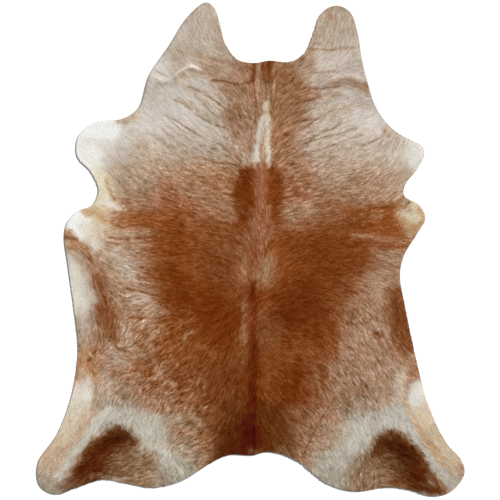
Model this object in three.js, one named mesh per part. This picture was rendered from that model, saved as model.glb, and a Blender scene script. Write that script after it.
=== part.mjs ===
import * as THREE from "three";

// Cowhide rug: one tanned hide with its hair on, spread flat. It is level underneath, so it rests
// on its whole underside, and it carries its folds and creases on top.
// Millimetres. +Y runs to the neck end, +X to the hide's right as laid, +Z up.

const square = 4.56; // one square of the measuring grid the hide was marked out on
const skinThickness = 3.6; // leather with the coat lying on it
const edgeThickness = 2.4; // the trimmed edge
const edgeTaper = 28; // how far in from the edge the sheet thins
const swellHeight = 0.7; // slow unevenness of a sheet that never lies quite flat
const swellLength = 430;
const edgeStep = 20; // spacing of the points round the outline
const foldStep = 24; // spacing of the points along a fold
const faceStep = 35; // spacing of the points over the rest of the face
const closestPoints = 9;

// The trimmed outline, clockwise from the left neck flap, in squares from the grid's upper left
// corner. The edge is a smooth curve through these landmarks.
const outline = [
  { mark: "left neck flap, tip", across: 206, down: 2.3 },
  { mark: "left neck flap, inner corner", across: 214.5, down: 8.3 },
  { mark: "left neck flap, inner side", across: 220, down: 25 },
  { mark: "left neck flap, inner root", across: 225.5, down: 44.5 },
  { mark: "neck notch, left turn", across: 237.5, down: 59.5 },
  { mark: "neck notch, left of the mane", across: 254, down: 63 },
  { mark: "mane", across: 269, down: 60.7 },
  { mark: "neck notch, right of the mane", across: 290, down: 61.8 },
  { mark: "neck notch, right turn", across: 304.5, down: 53 },
  { mark: "right neck flap, inner root", across: 313.5, down: 33.6 },
  { mark: "right neck flap, inner corner", across: 321.5, down: 13 },
  { mark: "right neck flap, tip", across: 336, down: 5.6 },
  { mark: "right neck flap, outer corner", across: 350, down: 12 },
  { mark: "right neck flap, outer side", across: 358.3, down: 36 },
  { mark: "right neck flap, outer root", across: 361.2, down: 55 },
  { mark: "right neck", across: 366.6, down: 79 },
  { mark: "right neck, low", across: 376.5, down: 108 },
  { mark: "right shoulder", across: 393.4, down: 129.5 },
  { mark: "right foreleg, top", across: 413.5, down: 141.2 },
  { mark: "right foreleg, upper corner", across: 421.4, down: 145.2 },
  { mark: "right foreleg, tip", across: 424.5, down: 154.5 },
  { mark: "right foreleg, underside", across: 417, down: 169.3 },
  { mark: "right armpit, upper", across: 405.2, down: 184.8 },
  { mark: "right armpit, lower", across: 404, down: 195.5 },
  { mark: "right elbow, top", across: 417, down: 203.4 },
  { mark: "right elbow, upper corner", across: 422.4, down: 208.8 },
  { mark: "right elbow, tip", across: 425.5, down: 218.5 },
  { mark: "right elbow, underside", across: 417.6, down: 233 },
  { mark: "right flank, top", across: 404, down: 255.4 },
  { mark: "right flank, waist", across: 399.9, down: 275 },
  { mark: "right belly", across: 405.8, down: 311 },
  { mark: "right stifle", across: 416.6, down: 362 },
  { mark: "right hind leg, outer side", across: 428.6, down: 405.6 },
  { mark: "right hind leg, outer bend", across: 445.4, down: 441.5 },
  { mark: "right hind foot, top", across: 461.5, down: 460.5 },
  { mark: "right hind foot, tip", across: 464.2, down: 474 },
  { mark: "right hind foot, lower corner", across: 450.6, down: 491.8 },
  { mark: "right hind foot, bottom", across: 433, down: 496 },
  { mark: "right hock, outer", across: 408, down: 489.2 },
  { mark: "right hock, hollow", across: 388, down: 487 },
  { mark: "right thigh, bottom", across: 354, down: 491.2 },
  { mark: "right thigh, inner side", across: 327, down: 483.2 },
  { mark: "right buttock", across: 300, down: 462.4 },
  { mark: "tail end, right turn", across: 282, down: 454.2 },
  { mark: "tail end, right of the spine", across: 266, down: 451.8 },
  { mark: "tail root", across: 253, down: 455 },
  { mark: "tail end, left turn", across: 228, down: 455 },
  { mark: "left buttock", across: 211, down: 463 },
  { mark: "left thigh, inner side", across: 181, down: 481.2 },
  { mark: "left thigh, bottom", across: 153, down: 487.2 },
  { mark: "left hock, inner", across: 127, down: 483 },
  { mark: "left hock, hollow", across: 103, down: 479.1 },
  { mark: "left hind foot, inner side", across: 78, down: 486.9 },
  { mark: "left hind foot, bottom", across: 55, down: 494 },
  { mark: "left hind foot, lower corner", across: 39.6, down: 485 },
  { mark: "left hind foot, tip", across: 38.3, down: 462.2 },
  { mark: "left hind leg, outer bend", across: 57.4, down: 433.5 },
  { mark: "left hind leg, outer side", across: 71, down: 397.8 },
  { mark: "left stifle", across: 78.3, down: 350 },
  { mark: "left belly", across: 74.2, down: 309 },
  { mark: "left flank, waist", across: 67.6, down: 263 },
  { mark: "left elbow, tip", across: 64.3, down: 236 },
  { mark: "left elbow, upper corner", across: 67.2, down: 222 },
  { mark: "left elbow, top", across: 76, down: 211.6 },
  { mark: "left armpit, lower", across: 91.8, down: 205 },
  { mark: "left armpit, upper", across: 98.2, down: 190 },
  { mark: "left foreleg, underside", across: 91.4, down: 172.4 },
  { mark: "left foreleg, tip", across: 76.9, down: 155.4 },
  { mark: "left foreleg, upper corner", across: 79, down: 134.6 },
  { mark: "left foreleg, top", across: 97.8, down: 121.2 },
  { mark: "left shoulder", across: 122, down: 118.7 },
  { mark: "left neck, low", across: 138.6, down: 107 },
  { mark: "left neck", across: 149.4, down: 74.3 },
  { mark: "left neck flap, outer side", across: 169.5, down: 44.6 },
  { mark: "left neck flap, outer corner", across: 187.5, down: 16.6 },
];

// Ridges (height above zero) and creases (below zero) on the top face, each along a curve through
// its line of grid places. Height and half width in millimetres.
const folds = [
  { fold: "left neck ridge", height: 6, half: 15, line: [[156, 80], [167, 81.5], [180, 72], [190, 67.6], [199, 71]] },
  { fold: "right neck ridge", height: 5, half: 17, line: [[318, 87], [333, 81.5], [347, 78], [359, 80.5]] },
  { fold: "mane", height: 2, half: 26, line: [[265, 68], [262, 105], [261, 150], [261, 200]] },
  { fold: "spine hollow", height: -1.2, half: 20, line: [[254.5, 235], [253.5, 330], [252.5, 448]] },
  { fold: "left flap crease", height: -1.2, half: 11, line: [[192, 52], [205, 58.5], [236, 65]] },
  { fold: "left nape crease", height: -1.3, half: 11, line: [[212, 80.5], [232, 84.5], [251, 81]] },
  { fold: "left throat crease", height: -1.7, half: 11, line: [[196, 89], [209, 98], [230, 113]] },
  { fold: "left collar crease", height: -1.7, half: 12, line: [[180, 102], [194, 111], [206, 122], [222, 127]] },
  { fold: "left shoulder crease", height: -1.5, half: 11, line: [[166, 114], [179, 124], [199, 137]] },
  { fold: "right flap crease", height: -1.7, half: 11, line: [[310, 50], [333, 49], [356, 47]] },
  { fold: "right throat crease", height: -1.6, half: 11, line: [[296, 125], [309, 120], [322, 118]] },
  { fold: "right collar crease", height: -1.6, half: 12, line: [[320, 119], [333, 111.5], [354, 107]] },
  { fold: "right shoulder crease", height: -1.5, half: 11, line: [[361, 146], [376, 140], [388, 130]] },
  { fold: "right elbow crease", height: -1.7, half: 11, line: [[374, 209], [392, 207.5], [408, 201.5]] },
  { fold: "left elbow crease", height: -1.5, half: 11, line: [[104, 238], [128, 240], [153, 239]] },
  { fold: "left flank crease", height: -1.6, half: 11, line: [[124, 290], [141, 291], [160, 297]] },
  { fold: "left belly crease", height: -1.6, half: 11, line: [[128, 318], [151, 319], [180, 317]] },
  { fold: "left stifle pucker", height: -1.7, half: 10, line: [[96, 348], [89, 358.5], [95, 378]] },
  { fold: "right thigh crease", height: -1.7, half: 11, line: [[334, 400], [322, 423], [306, 457]] },
  { fold: "left thigh crease", height: -1.5, half: 11, line: [[151, 450], [159, 458], [171, 460]] },
];

const onGrid = (across, down) => new THREE.Vector3(across * square, -down * square, 0);

function spaced(curve, step, closed) {
  curve.arcLengthDivisions = 4000;
  const count = Math.max(2, Math.round(curve.getLength() / step));
  const points = curve.getSpacedPoints(count);
  if (closed) points.pop();
  return points;
}

const edgeCurve = new THREE.CatmullRomCurve3(
  outline.map((row) => onGrid(row.across, row.down)),
  true,
  "centripetal",
);
const edge = spaced(edgeCurve, edgeStep, true);
const middle = new THREE.Box3().setFromPoints(edge).getCenter(new THREE.Vector3());
edge.forEach((point) => point.sub(middle));

const foldLines = folds.map((row) => {
  const curve = new THREE.CatmullRomCurve3(
    row.line.map((place) => onGrid(place[0], place[1]).sub(middle)),
    false,
    "centripetal",
  );
  return { ...row, points: spaced(curve, foldStep, false) };
});

// Nearest distance from (x, y) to a run of points, and how far along the run that is, 0 to 1.
function nearest(x, y, run, closed) {
  let best = Infinity;
  let along = 0;
  const last = closed ? run.length : run.length - 1;
  for (let i = 0; i < last; i += 1) {
    const a = run[i];
    const b = run[(i + 1) % run.length];
    const dx = b.x - a.x;
    const dy = b.y - a.y;
    const t = THREE.MathUtils.clamp(((x - a.x) * dx + (y - a.y) * dy) / (dx * dx + dy * dy), 0, 1);
    const distance = Math.hypot(x - a.x - t * dx, y - a.y - t * dy);
    if (distance < best) {
      best = distance;
      along = (i + t) / last;
    }
  }
  return { distance: best, along };
}

function isInside(x, y) {
  let inside = false;
  for (let i = 0, j = edge.length - 1; i < edge.length; j = i, i += 1) {
    const a = edge[i];
    const b = edge[j];
    if (a.y > y !== b.y > y && x < ((b.x - a.x) * (y - a.y)) / (b.y - a.y) + a.x) inside = !inside;
  }
  return inside;
}

// Height of the top face.
function topHeight(x, y) {
  const inward = THREE.MathUtils.smoothstep(nearest(x, y, edge, true).distance, 0, edgeTaper);
  let lift = 0;
  for (const row of foldLines) {
    const { distance, along } = nearest(x, y, row.points, false);
    const reach = distance / row.half;
    const fade = Math.sqrt(Math.sin(Math.PI * THREE.MathUtils.clamp(along, 0.02, 0.98)));
    lift += row.height * fade * Math.exp(-reach * reach);
  }
  const wave = (2 * Math.PI) / swellLength;
  lift += swellHeight * (Math.sin(wave * (x + 0.4 * y)) + Math.sin(wave * (0.8 * y - 0.5 * x) + 1.1));
  return edgeThickness + inward * (skinThickness - edgeThickness + lift);
}

// Points over the face: the edge, then the folds with both their feet, then an even field between.
const face = edge.map((point) => ({ x: point.x, y: point.y }));

function place(x, y, apart, fromEdge) {
  if (!isInside(x, y) || nearest(x, y, edge, true).distance < fromEdge) return;
  if (face.some((other) => Math.hypot(other.x - x, other.y - y) < apart)) return;
  face.push({ x, y });
}

for (const row of foldLines) {
  row.points.forEach((point, i) => {
    const before = row.points[Math.max(0, i - 1)];
    const after = row.points[Math.min(row.points.length - 1, i + 1)];
    const run = new THREE.Vector3().subVectors(after, before).normalize();
    for (const side of [0, -1, 1]) {
      const reach = side * row.half * 1.1;
      place(point.x - run.y * reach, point.y + run.x * reach, closestPoints, edgeStep * 0.55);
    }
  });
}

const extent = new THREE.Box3().setFromPoints(edge);
const rowHeight = faceStep * Math.sqrt(0.75);
for (let j = 0; extent.min.y + j * rowHeight < extent.max.y; j += 1) {
  for (let i = 0; extent.min.x + i * faceStep < extent.max.x; i += 1) {
    const nudge = 0.3 * Math.sin(12.7 * i + 7.3 * j);
    const x = extent.min.x + (i + (j % 2) / 2) * faceStep + nudge;
    const y = extent.min.y + j * rowHeight - nudge;
    place(x, y, faceStep * 0.62, faceStep * 0.55);
  }
}

// Delaunay triangles over the points, one point added at a time.
function triangulate(points) {
  const far = 1e5;
  const all = [...points, { x: -far, y: -far }, { x: far, y: -far }, { x: 0, y: far }];
  const round = (a, b, c) => {
    const ax = all[b].x - all[a].x;
    const ay = all[b].y - all[a].y;
    const bx = all[c].x - all[a].x;
    const by = all[c].y - all[a].y;
    const d = 2 * (ax * by - ay * bx);
    const ux = (by * (ax * ax + ay * ay) - ay * (bx * bx + by * by)) / d;
    const uy = (ax * (bx * bx + by * by) - bx * (ax * ax + ay * ay)) / d;
    return { corners: [a, b, c], x: all[a].x + ux, y: all[a].y + uy, reach: ux * ux + uy * uy };
  };
  const count = points.length;
  let triangles = [round(count, count + 1, count + 2)];
  for (let p = 0; p < count; p += 1) {
    const open = new Map();
    const kept = [];
    for (const triangle of triangles) {
      const dx = all[p].x - triangle.x;
      const dy = all[p].y - triangle.y;
      if (dx * dx + dy * dy >= triangle.reach) {
        kept.push(triangle);
        continue;
      }
      for (let k = 0; k < 3; k += 1) {
        const from = triangle.corners[k];
        const to = triangle.corners[(k + 1) % 3];
        if (!open.delete(`${to} ${from}`)) open.set(`${from} ${to}`, [from, to]);
      }
    }
    open.forEach(([from, to]) => kept.push(round(from, to, p)));
    triangles = kept;
  }
  return triangles.map((triangle) => triangle.corners);
}

const topFaces = triangulate(face).filter((corners) => {
  if (corners.some((corner) => corner >= face.length)) return false;
  const x = (face[corners[0]].x + face[corners[1]].x + face[corners[2]].x) / 3;
  const y = (face[corners[0]].y + face[corners[1]].y + face[corners[2]].y) / 3;
  return isInside(x, y);
});

const positions = [];
face.forEach((point, i) => {
  positions.push(point.x, point.y, i < edge.length ? edgeThickness : topHeight(point.x, point.y));
});
const underside = face.length;
edge.forEach((point) => positions.push(point.x, point.y, 0));

// Is the turn a, b, c anticlockwise seen from above?
function turnsLeft(a, b, c) {
  return (b.x - a.x) * (c.y - a.y) - (b.y - a.y) * (c.x - a.x) > 0;
}

const faces = [];
for (const [a, b, c] of topFaces) {
  faces.push(...(turnsLeft(face[a], face[b], face[c]) ? [a, b, c] : [a, c, b]));
}
const flat = edge.map((point) => new THREE.Vector2(point.x, point.y));
for (const [a, b, c] of THREE.ShapeUtils.triangulateShape(flat, [])) {
  const left = turnsLeft(flat[a], flat[b], flat[c]);
  faces.push(...[a, left ? c : b, left ? b : c].map((corner) => underside + corner));
}
const clockwise = THREE.ShapeUtils.isClockWise(flat);
for (let i = 0; i < edge.length; i += 1) {
  const j = (i + 1) % edge.length;
  const [from, to] = clockwise ? [j, i] : [i, j];
  faces.push(underside + from, underside + to, to, underside + from, to, from);
}

const geometry = new THREE.BufferGeometry();
geometry.setAttribute("position", new THREE.Float32BufferAttribute(positions, 3));
geometry.setIndex(faces);
geometry.computeVertexNormals();

const hairOnHide = new THREE.MeshStandardMaterial({ color: "#8f5b38", roughness: 0.75, metalness: 0 });
const hide = new THREE.Mesh(geometry, hairOnHide);
hide.name = "hide";

const rug = new THREE.Group();
rug.name = "cowhide_rug";
rug.add(hide);

export default rug;
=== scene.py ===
import math

import bpy
import numpy as np
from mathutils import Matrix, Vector
from mathutils.geometry import delaunay_2d_cdt


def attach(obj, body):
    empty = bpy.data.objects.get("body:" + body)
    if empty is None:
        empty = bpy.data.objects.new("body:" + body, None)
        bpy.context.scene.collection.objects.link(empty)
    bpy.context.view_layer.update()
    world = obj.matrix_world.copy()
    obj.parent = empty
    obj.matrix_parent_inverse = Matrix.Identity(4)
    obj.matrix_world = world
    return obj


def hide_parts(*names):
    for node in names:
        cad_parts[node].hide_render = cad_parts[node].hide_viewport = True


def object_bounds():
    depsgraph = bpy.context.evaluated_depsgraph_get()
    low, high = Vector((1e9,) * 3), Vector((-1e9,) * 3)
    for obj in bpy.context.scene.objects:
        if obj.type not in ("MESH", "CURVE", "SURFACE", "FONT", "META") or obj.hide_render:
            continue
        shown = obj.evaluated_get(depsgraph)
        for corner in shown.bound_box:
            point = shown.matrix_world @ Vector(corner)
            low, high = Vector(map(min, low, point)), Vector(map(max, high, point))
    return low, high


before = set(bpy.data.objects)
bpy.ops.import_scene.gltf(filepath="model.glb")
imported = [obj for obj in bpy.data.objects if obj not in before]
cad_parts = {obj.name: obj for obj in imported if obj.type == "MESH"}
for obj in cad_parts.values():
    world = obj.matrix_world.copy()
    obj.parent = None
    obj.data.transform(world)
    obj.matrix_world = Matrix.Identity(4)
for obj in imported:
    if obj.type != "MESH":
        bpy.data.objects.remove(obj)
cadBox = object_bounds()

# Cowhide rug: one tanned hide with its hair on, lying flat. Metres, +Y to the neck end, +Z up.
# The coat's places are given as they stand in the photograph: squares across from the left of its
# frame and squares down from the top. One square is one dot of that picture, 500 a side.
grid = {
    "square": 0.00456,  # metres a side, from the length taken for the hide
    "middleAcross": 250.72,  # the square over the middle of the hide's box
    "middleDown": 249.15,
    "spineAcross": 254,  # where the spine runs down the hide
}
millimetre = 0.001
farAway = 1e9  # more than any distance on the hide
tiny = 1e-6  # metres: less than any distance that counts
rng = np.random.default_rng(7)


def onHide(across, down):
    x = (np.asarray(across) - grid["middleAcross"]) * grid["square"]
    y = (grid["middleDown"] - np.asarray(down)) * grid["square"]
    return x, y


def onGrid(x, y):
    across = np.asarray(x) / grid["square"] + grid["middleAcross"]
    down = grid["middleDown"] - np.asarray(y) / grid["square"]
    return across, down


def hexToRgb(code):
    return np.array([int(code[i:i + 2], 16) for i in (1, 3, 5)]) / 255


def toLinear(rgb):
    rgb = np.asarray(rgb, float)
    return np.where(rgb <= 0.04045, rgb / 12.92, ((rgb + 0.055) / 1.055) ** 2.4)


def hexToLinear(code):
    return (*toLinear(hexToRgb(code)), 1.0)


def smooth(value, low, high):
    t = np.clip((value - low) / (high - low), 0, 1)
    return t * t * (3 - 2 * t)


# Noise that is the same on every run: hashed lattice values, blended, from -1 to 1.
noiseHash = {
    "column": 374761393,  # large odd factors, so that neighbours have nothing in common
    "row": 668265263,
    "seed": 982451653,
    "stir": 1274126177,
    "bits": 0xFFFFFFFF,
    "levels": 0xFFFF,
}


def lattice(column, row, seed):
    mixed = column * noiseHash["column"] + row * noiseHash["row"] + seed * noiseHash["seed"]
    mixed &= noiseHash["bits"]
    mixed = ((mixed ^ (mixed >> 13)) * noiseHash["stir"]) & noiseHash["bits"]
    return ((mixed ^ (mixed >> 16)) & noiseHash["levels"]) / noiseHash["levels"]


def grain(x, y, seed):
    column = np.floor(x).astype(np.int64)
    row = np.floor(y).astype(np.int64)
    fx = x - column
    fy = y - row
    fx = fx * fx * (3 - 2 * fx)
    fy = fy * fy * (3 - 2 * fy)
    near = lattice(column, row, seed) * (1 - fx) + lattice(column + 1, row, seed) * fx
    far = lattice(column, row + 1, seed) * (1 - fx) + lattice(column + 1, row + 1, seed) * fx
    return (near * (1 - fy) + far * fy) * 2 - 1


# How far places are from a straight run, and how far along it they are, from 0 to 1.
def toSegment(x, y, start, end):
    ax, ay = start
    dx = end[0] - ax
    dy = end[1] - ay
    t = np.clip(((x - ax) * dx + (y - ay) * dy) / (dx * dx + dy * dy), 0, 1)
    return np.hypot(x - ax - t * dx, y - ay - t * dy), t


def lineDistance(x, y, line):
    best = np.full(np.shape(x), farAway)
    for start, end in zip(line[:-1], line[1:]):
        best = np.minimum(best, toSegment(x, y, start, end)[0])
    return best


# A place between p1 and p2 on the smooth curve through four points, at t from 0 to 1.
def curvePoint(p0, p1, p2, p3, t):
    return 0.5 * (2 * p1 + (p2 - p0) * t + (2 * p0 - 5 * p1 + 4 * p2 - p3) * t ** 2
                  + (3 * p1 - p0 - 3 * p2 + p3) * t ** 3)


# The trimmed edge of the CAD hide, read from its level underside and rounded between its corners.
def hideEdge(node, cuts):
    level = 1e-5  # metres: a corner above this isn't on the underside
    places = [tuple(round(part, 6) for part in vertex.co) for vertex in node.data.vertices]
    onward = {}
    node.data.calc_loop_triangles()
    for triangle in node.data.loop_triangles:
        corners = [places[index] for index in triangle.vertices]
        if max(corner[2] for corner in corners) > level:
            continue
        for start, end in zip(corners, corners[1:] + corners[:1]):
            if onward.get(end) == {start}:
                del onward[end]
            elif start in onward.get(end, set()):
                onward[end].discard(start)
            else:
                onward.setdefault(start, set()).add(end)
    first = min(onward)
    loop = [first]
    while True:
        following = next(iter(onward[loop[-1]]))
        if following == first:
            break
        loop.append(following)
    corners = np.array(loop)[:, :2]
    before = np.roll(corners, 1, 0)
    after = np.roll(corners, -1, 0)
    later = np.roll(corners, -2, 0)
    rows = []
    for t in np.arange(cuts) / cuts:
        rows.append(curvePoint(before, corners, after, later, t))
    edge = np.stack(rows, 1).reshape(-1, 2)
    nextPoint = np.roll(edge, -1, 0)
    area = 0.5 * np.sum(edge[:, 0] * nextPoint[:, 1] - nextPoint[:, 0] * edge[:, 1])
    return edge if area > 0 else edge[::-1]


def insideEdge(x, y, edge):
    inside = np.zeros(np.shape(x), bool)
    nextPoint = np.roll(edge, -1, 0)
    for (ax, ay), (bx, by) in zip(edge, nextPoint):
        if ay == by:
            continue
        crosses = (ay > y) != (by > y)
        inside ^= crosses & (x < (bx - ax) * (y - ay) / (by - ay) + ax)
    return inside


# Ridges and creases of the hide. Height and half width in millimetres, the line in squares.
# fold, height, half width, line
folds = [
    ("left neck ridge", 6, 15, [(156, 80), (167, 81.5), (180, 72), (190, 67.6), (199, 71)]),
    ("right neck ridge", 5, 17, [(318, 87), (333, 81.5), (347, 78), (359, 80.5)]),
    ("mane", 2, 26, [(265, 68), (262, 105), (261, 150), (261, 200)]),
    ("spine hollow", -1.2, 20, [(254.5, 235), (253.5, 330), (252.5, 448)]),
    ("left flap crease", -0.6, 8, [(192, 52), (205, 58.5), (236, 65)]),
    ("left nape crease", -0.8, 8, [(212, 80.5), (232, 84.5), (251, 81)]),
    ("left throat crease", -0.6, 8, [(196, 89), (209, 98), (230, 113)]),
    ("left collar crease", -0.6, 8, [(180, 102), (194, 111), (206, 122), (222, 127)]),
    ("left shoulder crease", -0.5, 8, [(166, 114), (179, 124), (199, 137)]),
    ("right flap crease", -0.7, 8, [(310, 50), (333, 49), (356, 47)]),
    ("right throat crease", -0.7, 8, [(296, 125), (309, 120), (322, 118)]),
    ("right collar crease", -0.6, 8, [(320, 119), (333, 111.5), (354, 107)]),
    ("right shoulder crease", -0.6, 8, [(361, 146), (376, 140), (388, 130)]),
    ("right elbow crease", -1.7, 11, [(374, 209), (392, 207.5), (408, 201.5)]),
    ("left elbow crease", -1.5, 11, [(104, 238), (128, 240), (153, 239)]),
    ("left flank crease", -1.6, 11, [(124, 290), (141, 291), (160, 297)]),
    ("left belly crease", -1.6, 11, [(128, 318), (151, 319), (180, 317)]),
    ("left stifle pucker", -1.7, 10, [(96, 348), (89, 358.5), (95, 378)]),
    ("right thigh crease", -1.2, 9, [(334, 400), (322, 423), (306, 457)]),
    ("left thigh crease", -1.5, 11, [(151, 450), (159, 458), (171, 460)]),
]
leather = {
    "thickness": 3.6,  # without the coat; millimetres, as all sizes here with no other unit
    "thinnest": 1.6,
    "edgeThickness": 4.2,
    "edgeTaper": 20,
    "foldCuts": 6,  # steps of a fold's curve between two of its places
    "foldEnd": 0.02,  # share of its length at which a fold starts to rise
    "swellHeight": 0.5,
    "swellLength": 430,
    "edgeCuts": 4,  # points of the fine edge to each one of the CAD edge
    "faceStep": 7.6,
    "faceClear": 0.6,  # steps between the face's points and the rim
    "faceNudge": 0.18,  # share of a step by which a point is off its row
    "undersideStep": 45,
    "undersideClear": 20,
    "rimRound": 0.7,
    "rimInset": 0.15,  # shares of that rounding
    "rimDrop": 0.35,
    "surveyStep": 4,
    "surveyMargin": 8,  # steps of the survey past the edge
    "surveyReach": 0.2,  # metres from the edge within which its distance is measured
}

# Two long low swells of a sheet that never lies quite flat.
# share across, share along, shift
swells = [
    (1, 0.4, 0),
    (-0.5, 0.8, 1.1),
]


def curved(line):
    cuts = leather["foldCuts"]
    points = np.array([line[0], *line, line[-1]], float)
    rows = []
    for p0, p1, p2, p3 in zip(points[:-3], points[1:-2], points[2:-1], points[3:]):
        for t in np.arange(cuts) / cuts:
            rows.append(curvePoint(p0, p1, p2, p3, t))
    return np.array([*rows, points[-1]])


# Height of the leather's top face, in metres, without the thinning at the edge.
def leatherHeight(x, y):
    lift = np.zeros(np.shape(x))
    for name, height, half, line in folds:
        run = np.stack(onHide(*curved(line).T), 1)
        best = np.full(np.shape(x), farAway)
        along = np.zeros(np.shape(x))
        for index, (start, end) in enumerate(zip(run[:-1], run[1:])):
            distance, t = toSegment(x, y, start, end)
            along = np.where(distance < best, (index + t) / (len(run) - 1), along)
            best = np.minimum(best, distance)
        fade = np.sqrt(np.sin(math.pi * np.clip(along, leather["foldEnd"], 1 - leather["foldEnd"])))
        lift += height * millimetre * fade * np.exp(-(best / (half * millimetre)) ** 2)
    wave = 2 * math.pi / (leather["swellLength"] * millimetre)
    swell = len(swells)
    for shareAcross, shareAlong, shift in swells:
        swell = swell + np.sin(wave * (shareAcross * x + shareAlong * y) + shift)
    return lift + leather["swellHeight"] * millimetre * swell


# A survey of the hide on an even grid, so that heights and edge distances are looked up quickly.
def surveyHide(edge):
    step = leather["surveyStep"] * millimetre
    reach = leather["surveyReach"]
    low = edge.min(0) - leather["surveyMargin"] * step
    high = edge.max(0) + leather["surveyMargin"] * step
    xs = np.arange(low[0], high[0], step)
    ys = np.arange(low[1], high[1], step)
    x, y = np.meshgrid(xs, ys)
    coarse = edge[::2]
    depth = np.full(x.shape, farAway)
    for start, end in zip(coarse, np.roll(coarse, -1, 0)):
        left, below = np.minimum(start, end) - reach
        right, above = np.maximum(start, end) + reach
        near = (slice(*np.searchsorted(ys, [below, above])), slice(*np.searchsorted(xs, [left, right])))
        depth[near] = np.minimum(depth[near], toSegment(x[near], y[near], start, end)[0])
    depth = np.minimum(depth, reach)
    depth = np.where(insideEdge(x, y, coarse), depth, -depth)
    return {"low": low, "step": step, "depth": depth, "lift": leatherHeight(x, y)}


def lookUp(survey, layer, x, y):
    values = survey[layer]
    fx = (np.asarray(x) - survey["low"][0]) / survey["step"]
    fy = (np.asarray(y) - survey["low"][1]) / survey["step"]
    column = np.clip(np.floor(fx).astype(int), 0, values.shape[1] - 2)
    row = np.clip(np.floor(fy).astype(int), 0, values.shape[0] - 2)
    fx = np.clip(fx - column, 0, 1)
    fy = np.clip(fy - row, 0, 1)
    near = values[row, column] * (1 - fx) + values[row, column + 1] * fx
    far = values[row + 1, column] * (1 - fx) + values[row + 1, column + 1] * fx
    return near * (1 - fy) + far * fy


def topHeight(survey, x, y):
    depth = lookUp(survey, "depth", x, y)
    inward = smooth(depth, 0, leather["edgeTaper"] * millimetre)
    edgeHeight = leather["edgeThickness"] * millimetre
    fullHeight = leather["thickness"] * millimetre + lookUp(survey, "lift", x, y)
    fullHeight = np.maximum(fullHeight, leather["thinnest"] * millimetre)
    return edgeHeight + inward * (fullHeight - edgeHeight)


# Hair colours of the coat, from light to dark, then those between, as they look in full light. They
# were matched to the photograph, with its average colours over small areas for a guide.
# The marks also take some of these colours for painted shade and painted highlights.
shades = {
    "chalk": "#F6F7F1", "milk": "#E8E5DF", "shell": "#E3DACE", "cream": "#E3D9BD",
    "oyster": "#D8D2C6", "ivory": "#DAD5C6", "bone": "#E2E0D6", "pearl": "#D3CAC1",
    "lilac": "#CBC0B6", "dove": "#C4B7AA", "greige": "#BCAC9C", "silver": "#BCB7AB",
    "stone": "#B3A392", "oat": "#CDC0AC", "sand": "#BBA58B", "straw": "#CDB48F", "honey": "#BC946B",
    "fawn": "#B2967D", "mouse": "#A98D75", "taupe": "#A38067", "cocoa": "#9C7053", "hazel": "#90684A",
    "rust": "#965F40", "copper": "#A2663C", "ginger": "#8F5029", "brick": "#955F43",
    "rose": "#A97058", "walnut": "#8A5432", "umber": "#7C4A2A", "chestnut": "#7F4421",
    "bay": "#743B1A", "mahogany": "#6A3113", "oxblood": "#5A2208", "seal": "#512711",
    "knee": "#3E1C09", "maroon": "#451705", "ebony": "#360B00", "drab": "#86694F", "dun": "#97795F",
    "bark": "#603519", "tan": "#C4A07C", "wheat": "#D8C7AD", "ash": "#AE9B87", "mocha": "#8C5F42",
    "clay": "#A67A58", "tawny": "#AD8769", "russet": "#6C3A1D", "frost": "#B5AD9E",
    "pewter": "#A39A8B", "slate": "#988C7E", "mud": "#6A4A32",
}

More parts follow.
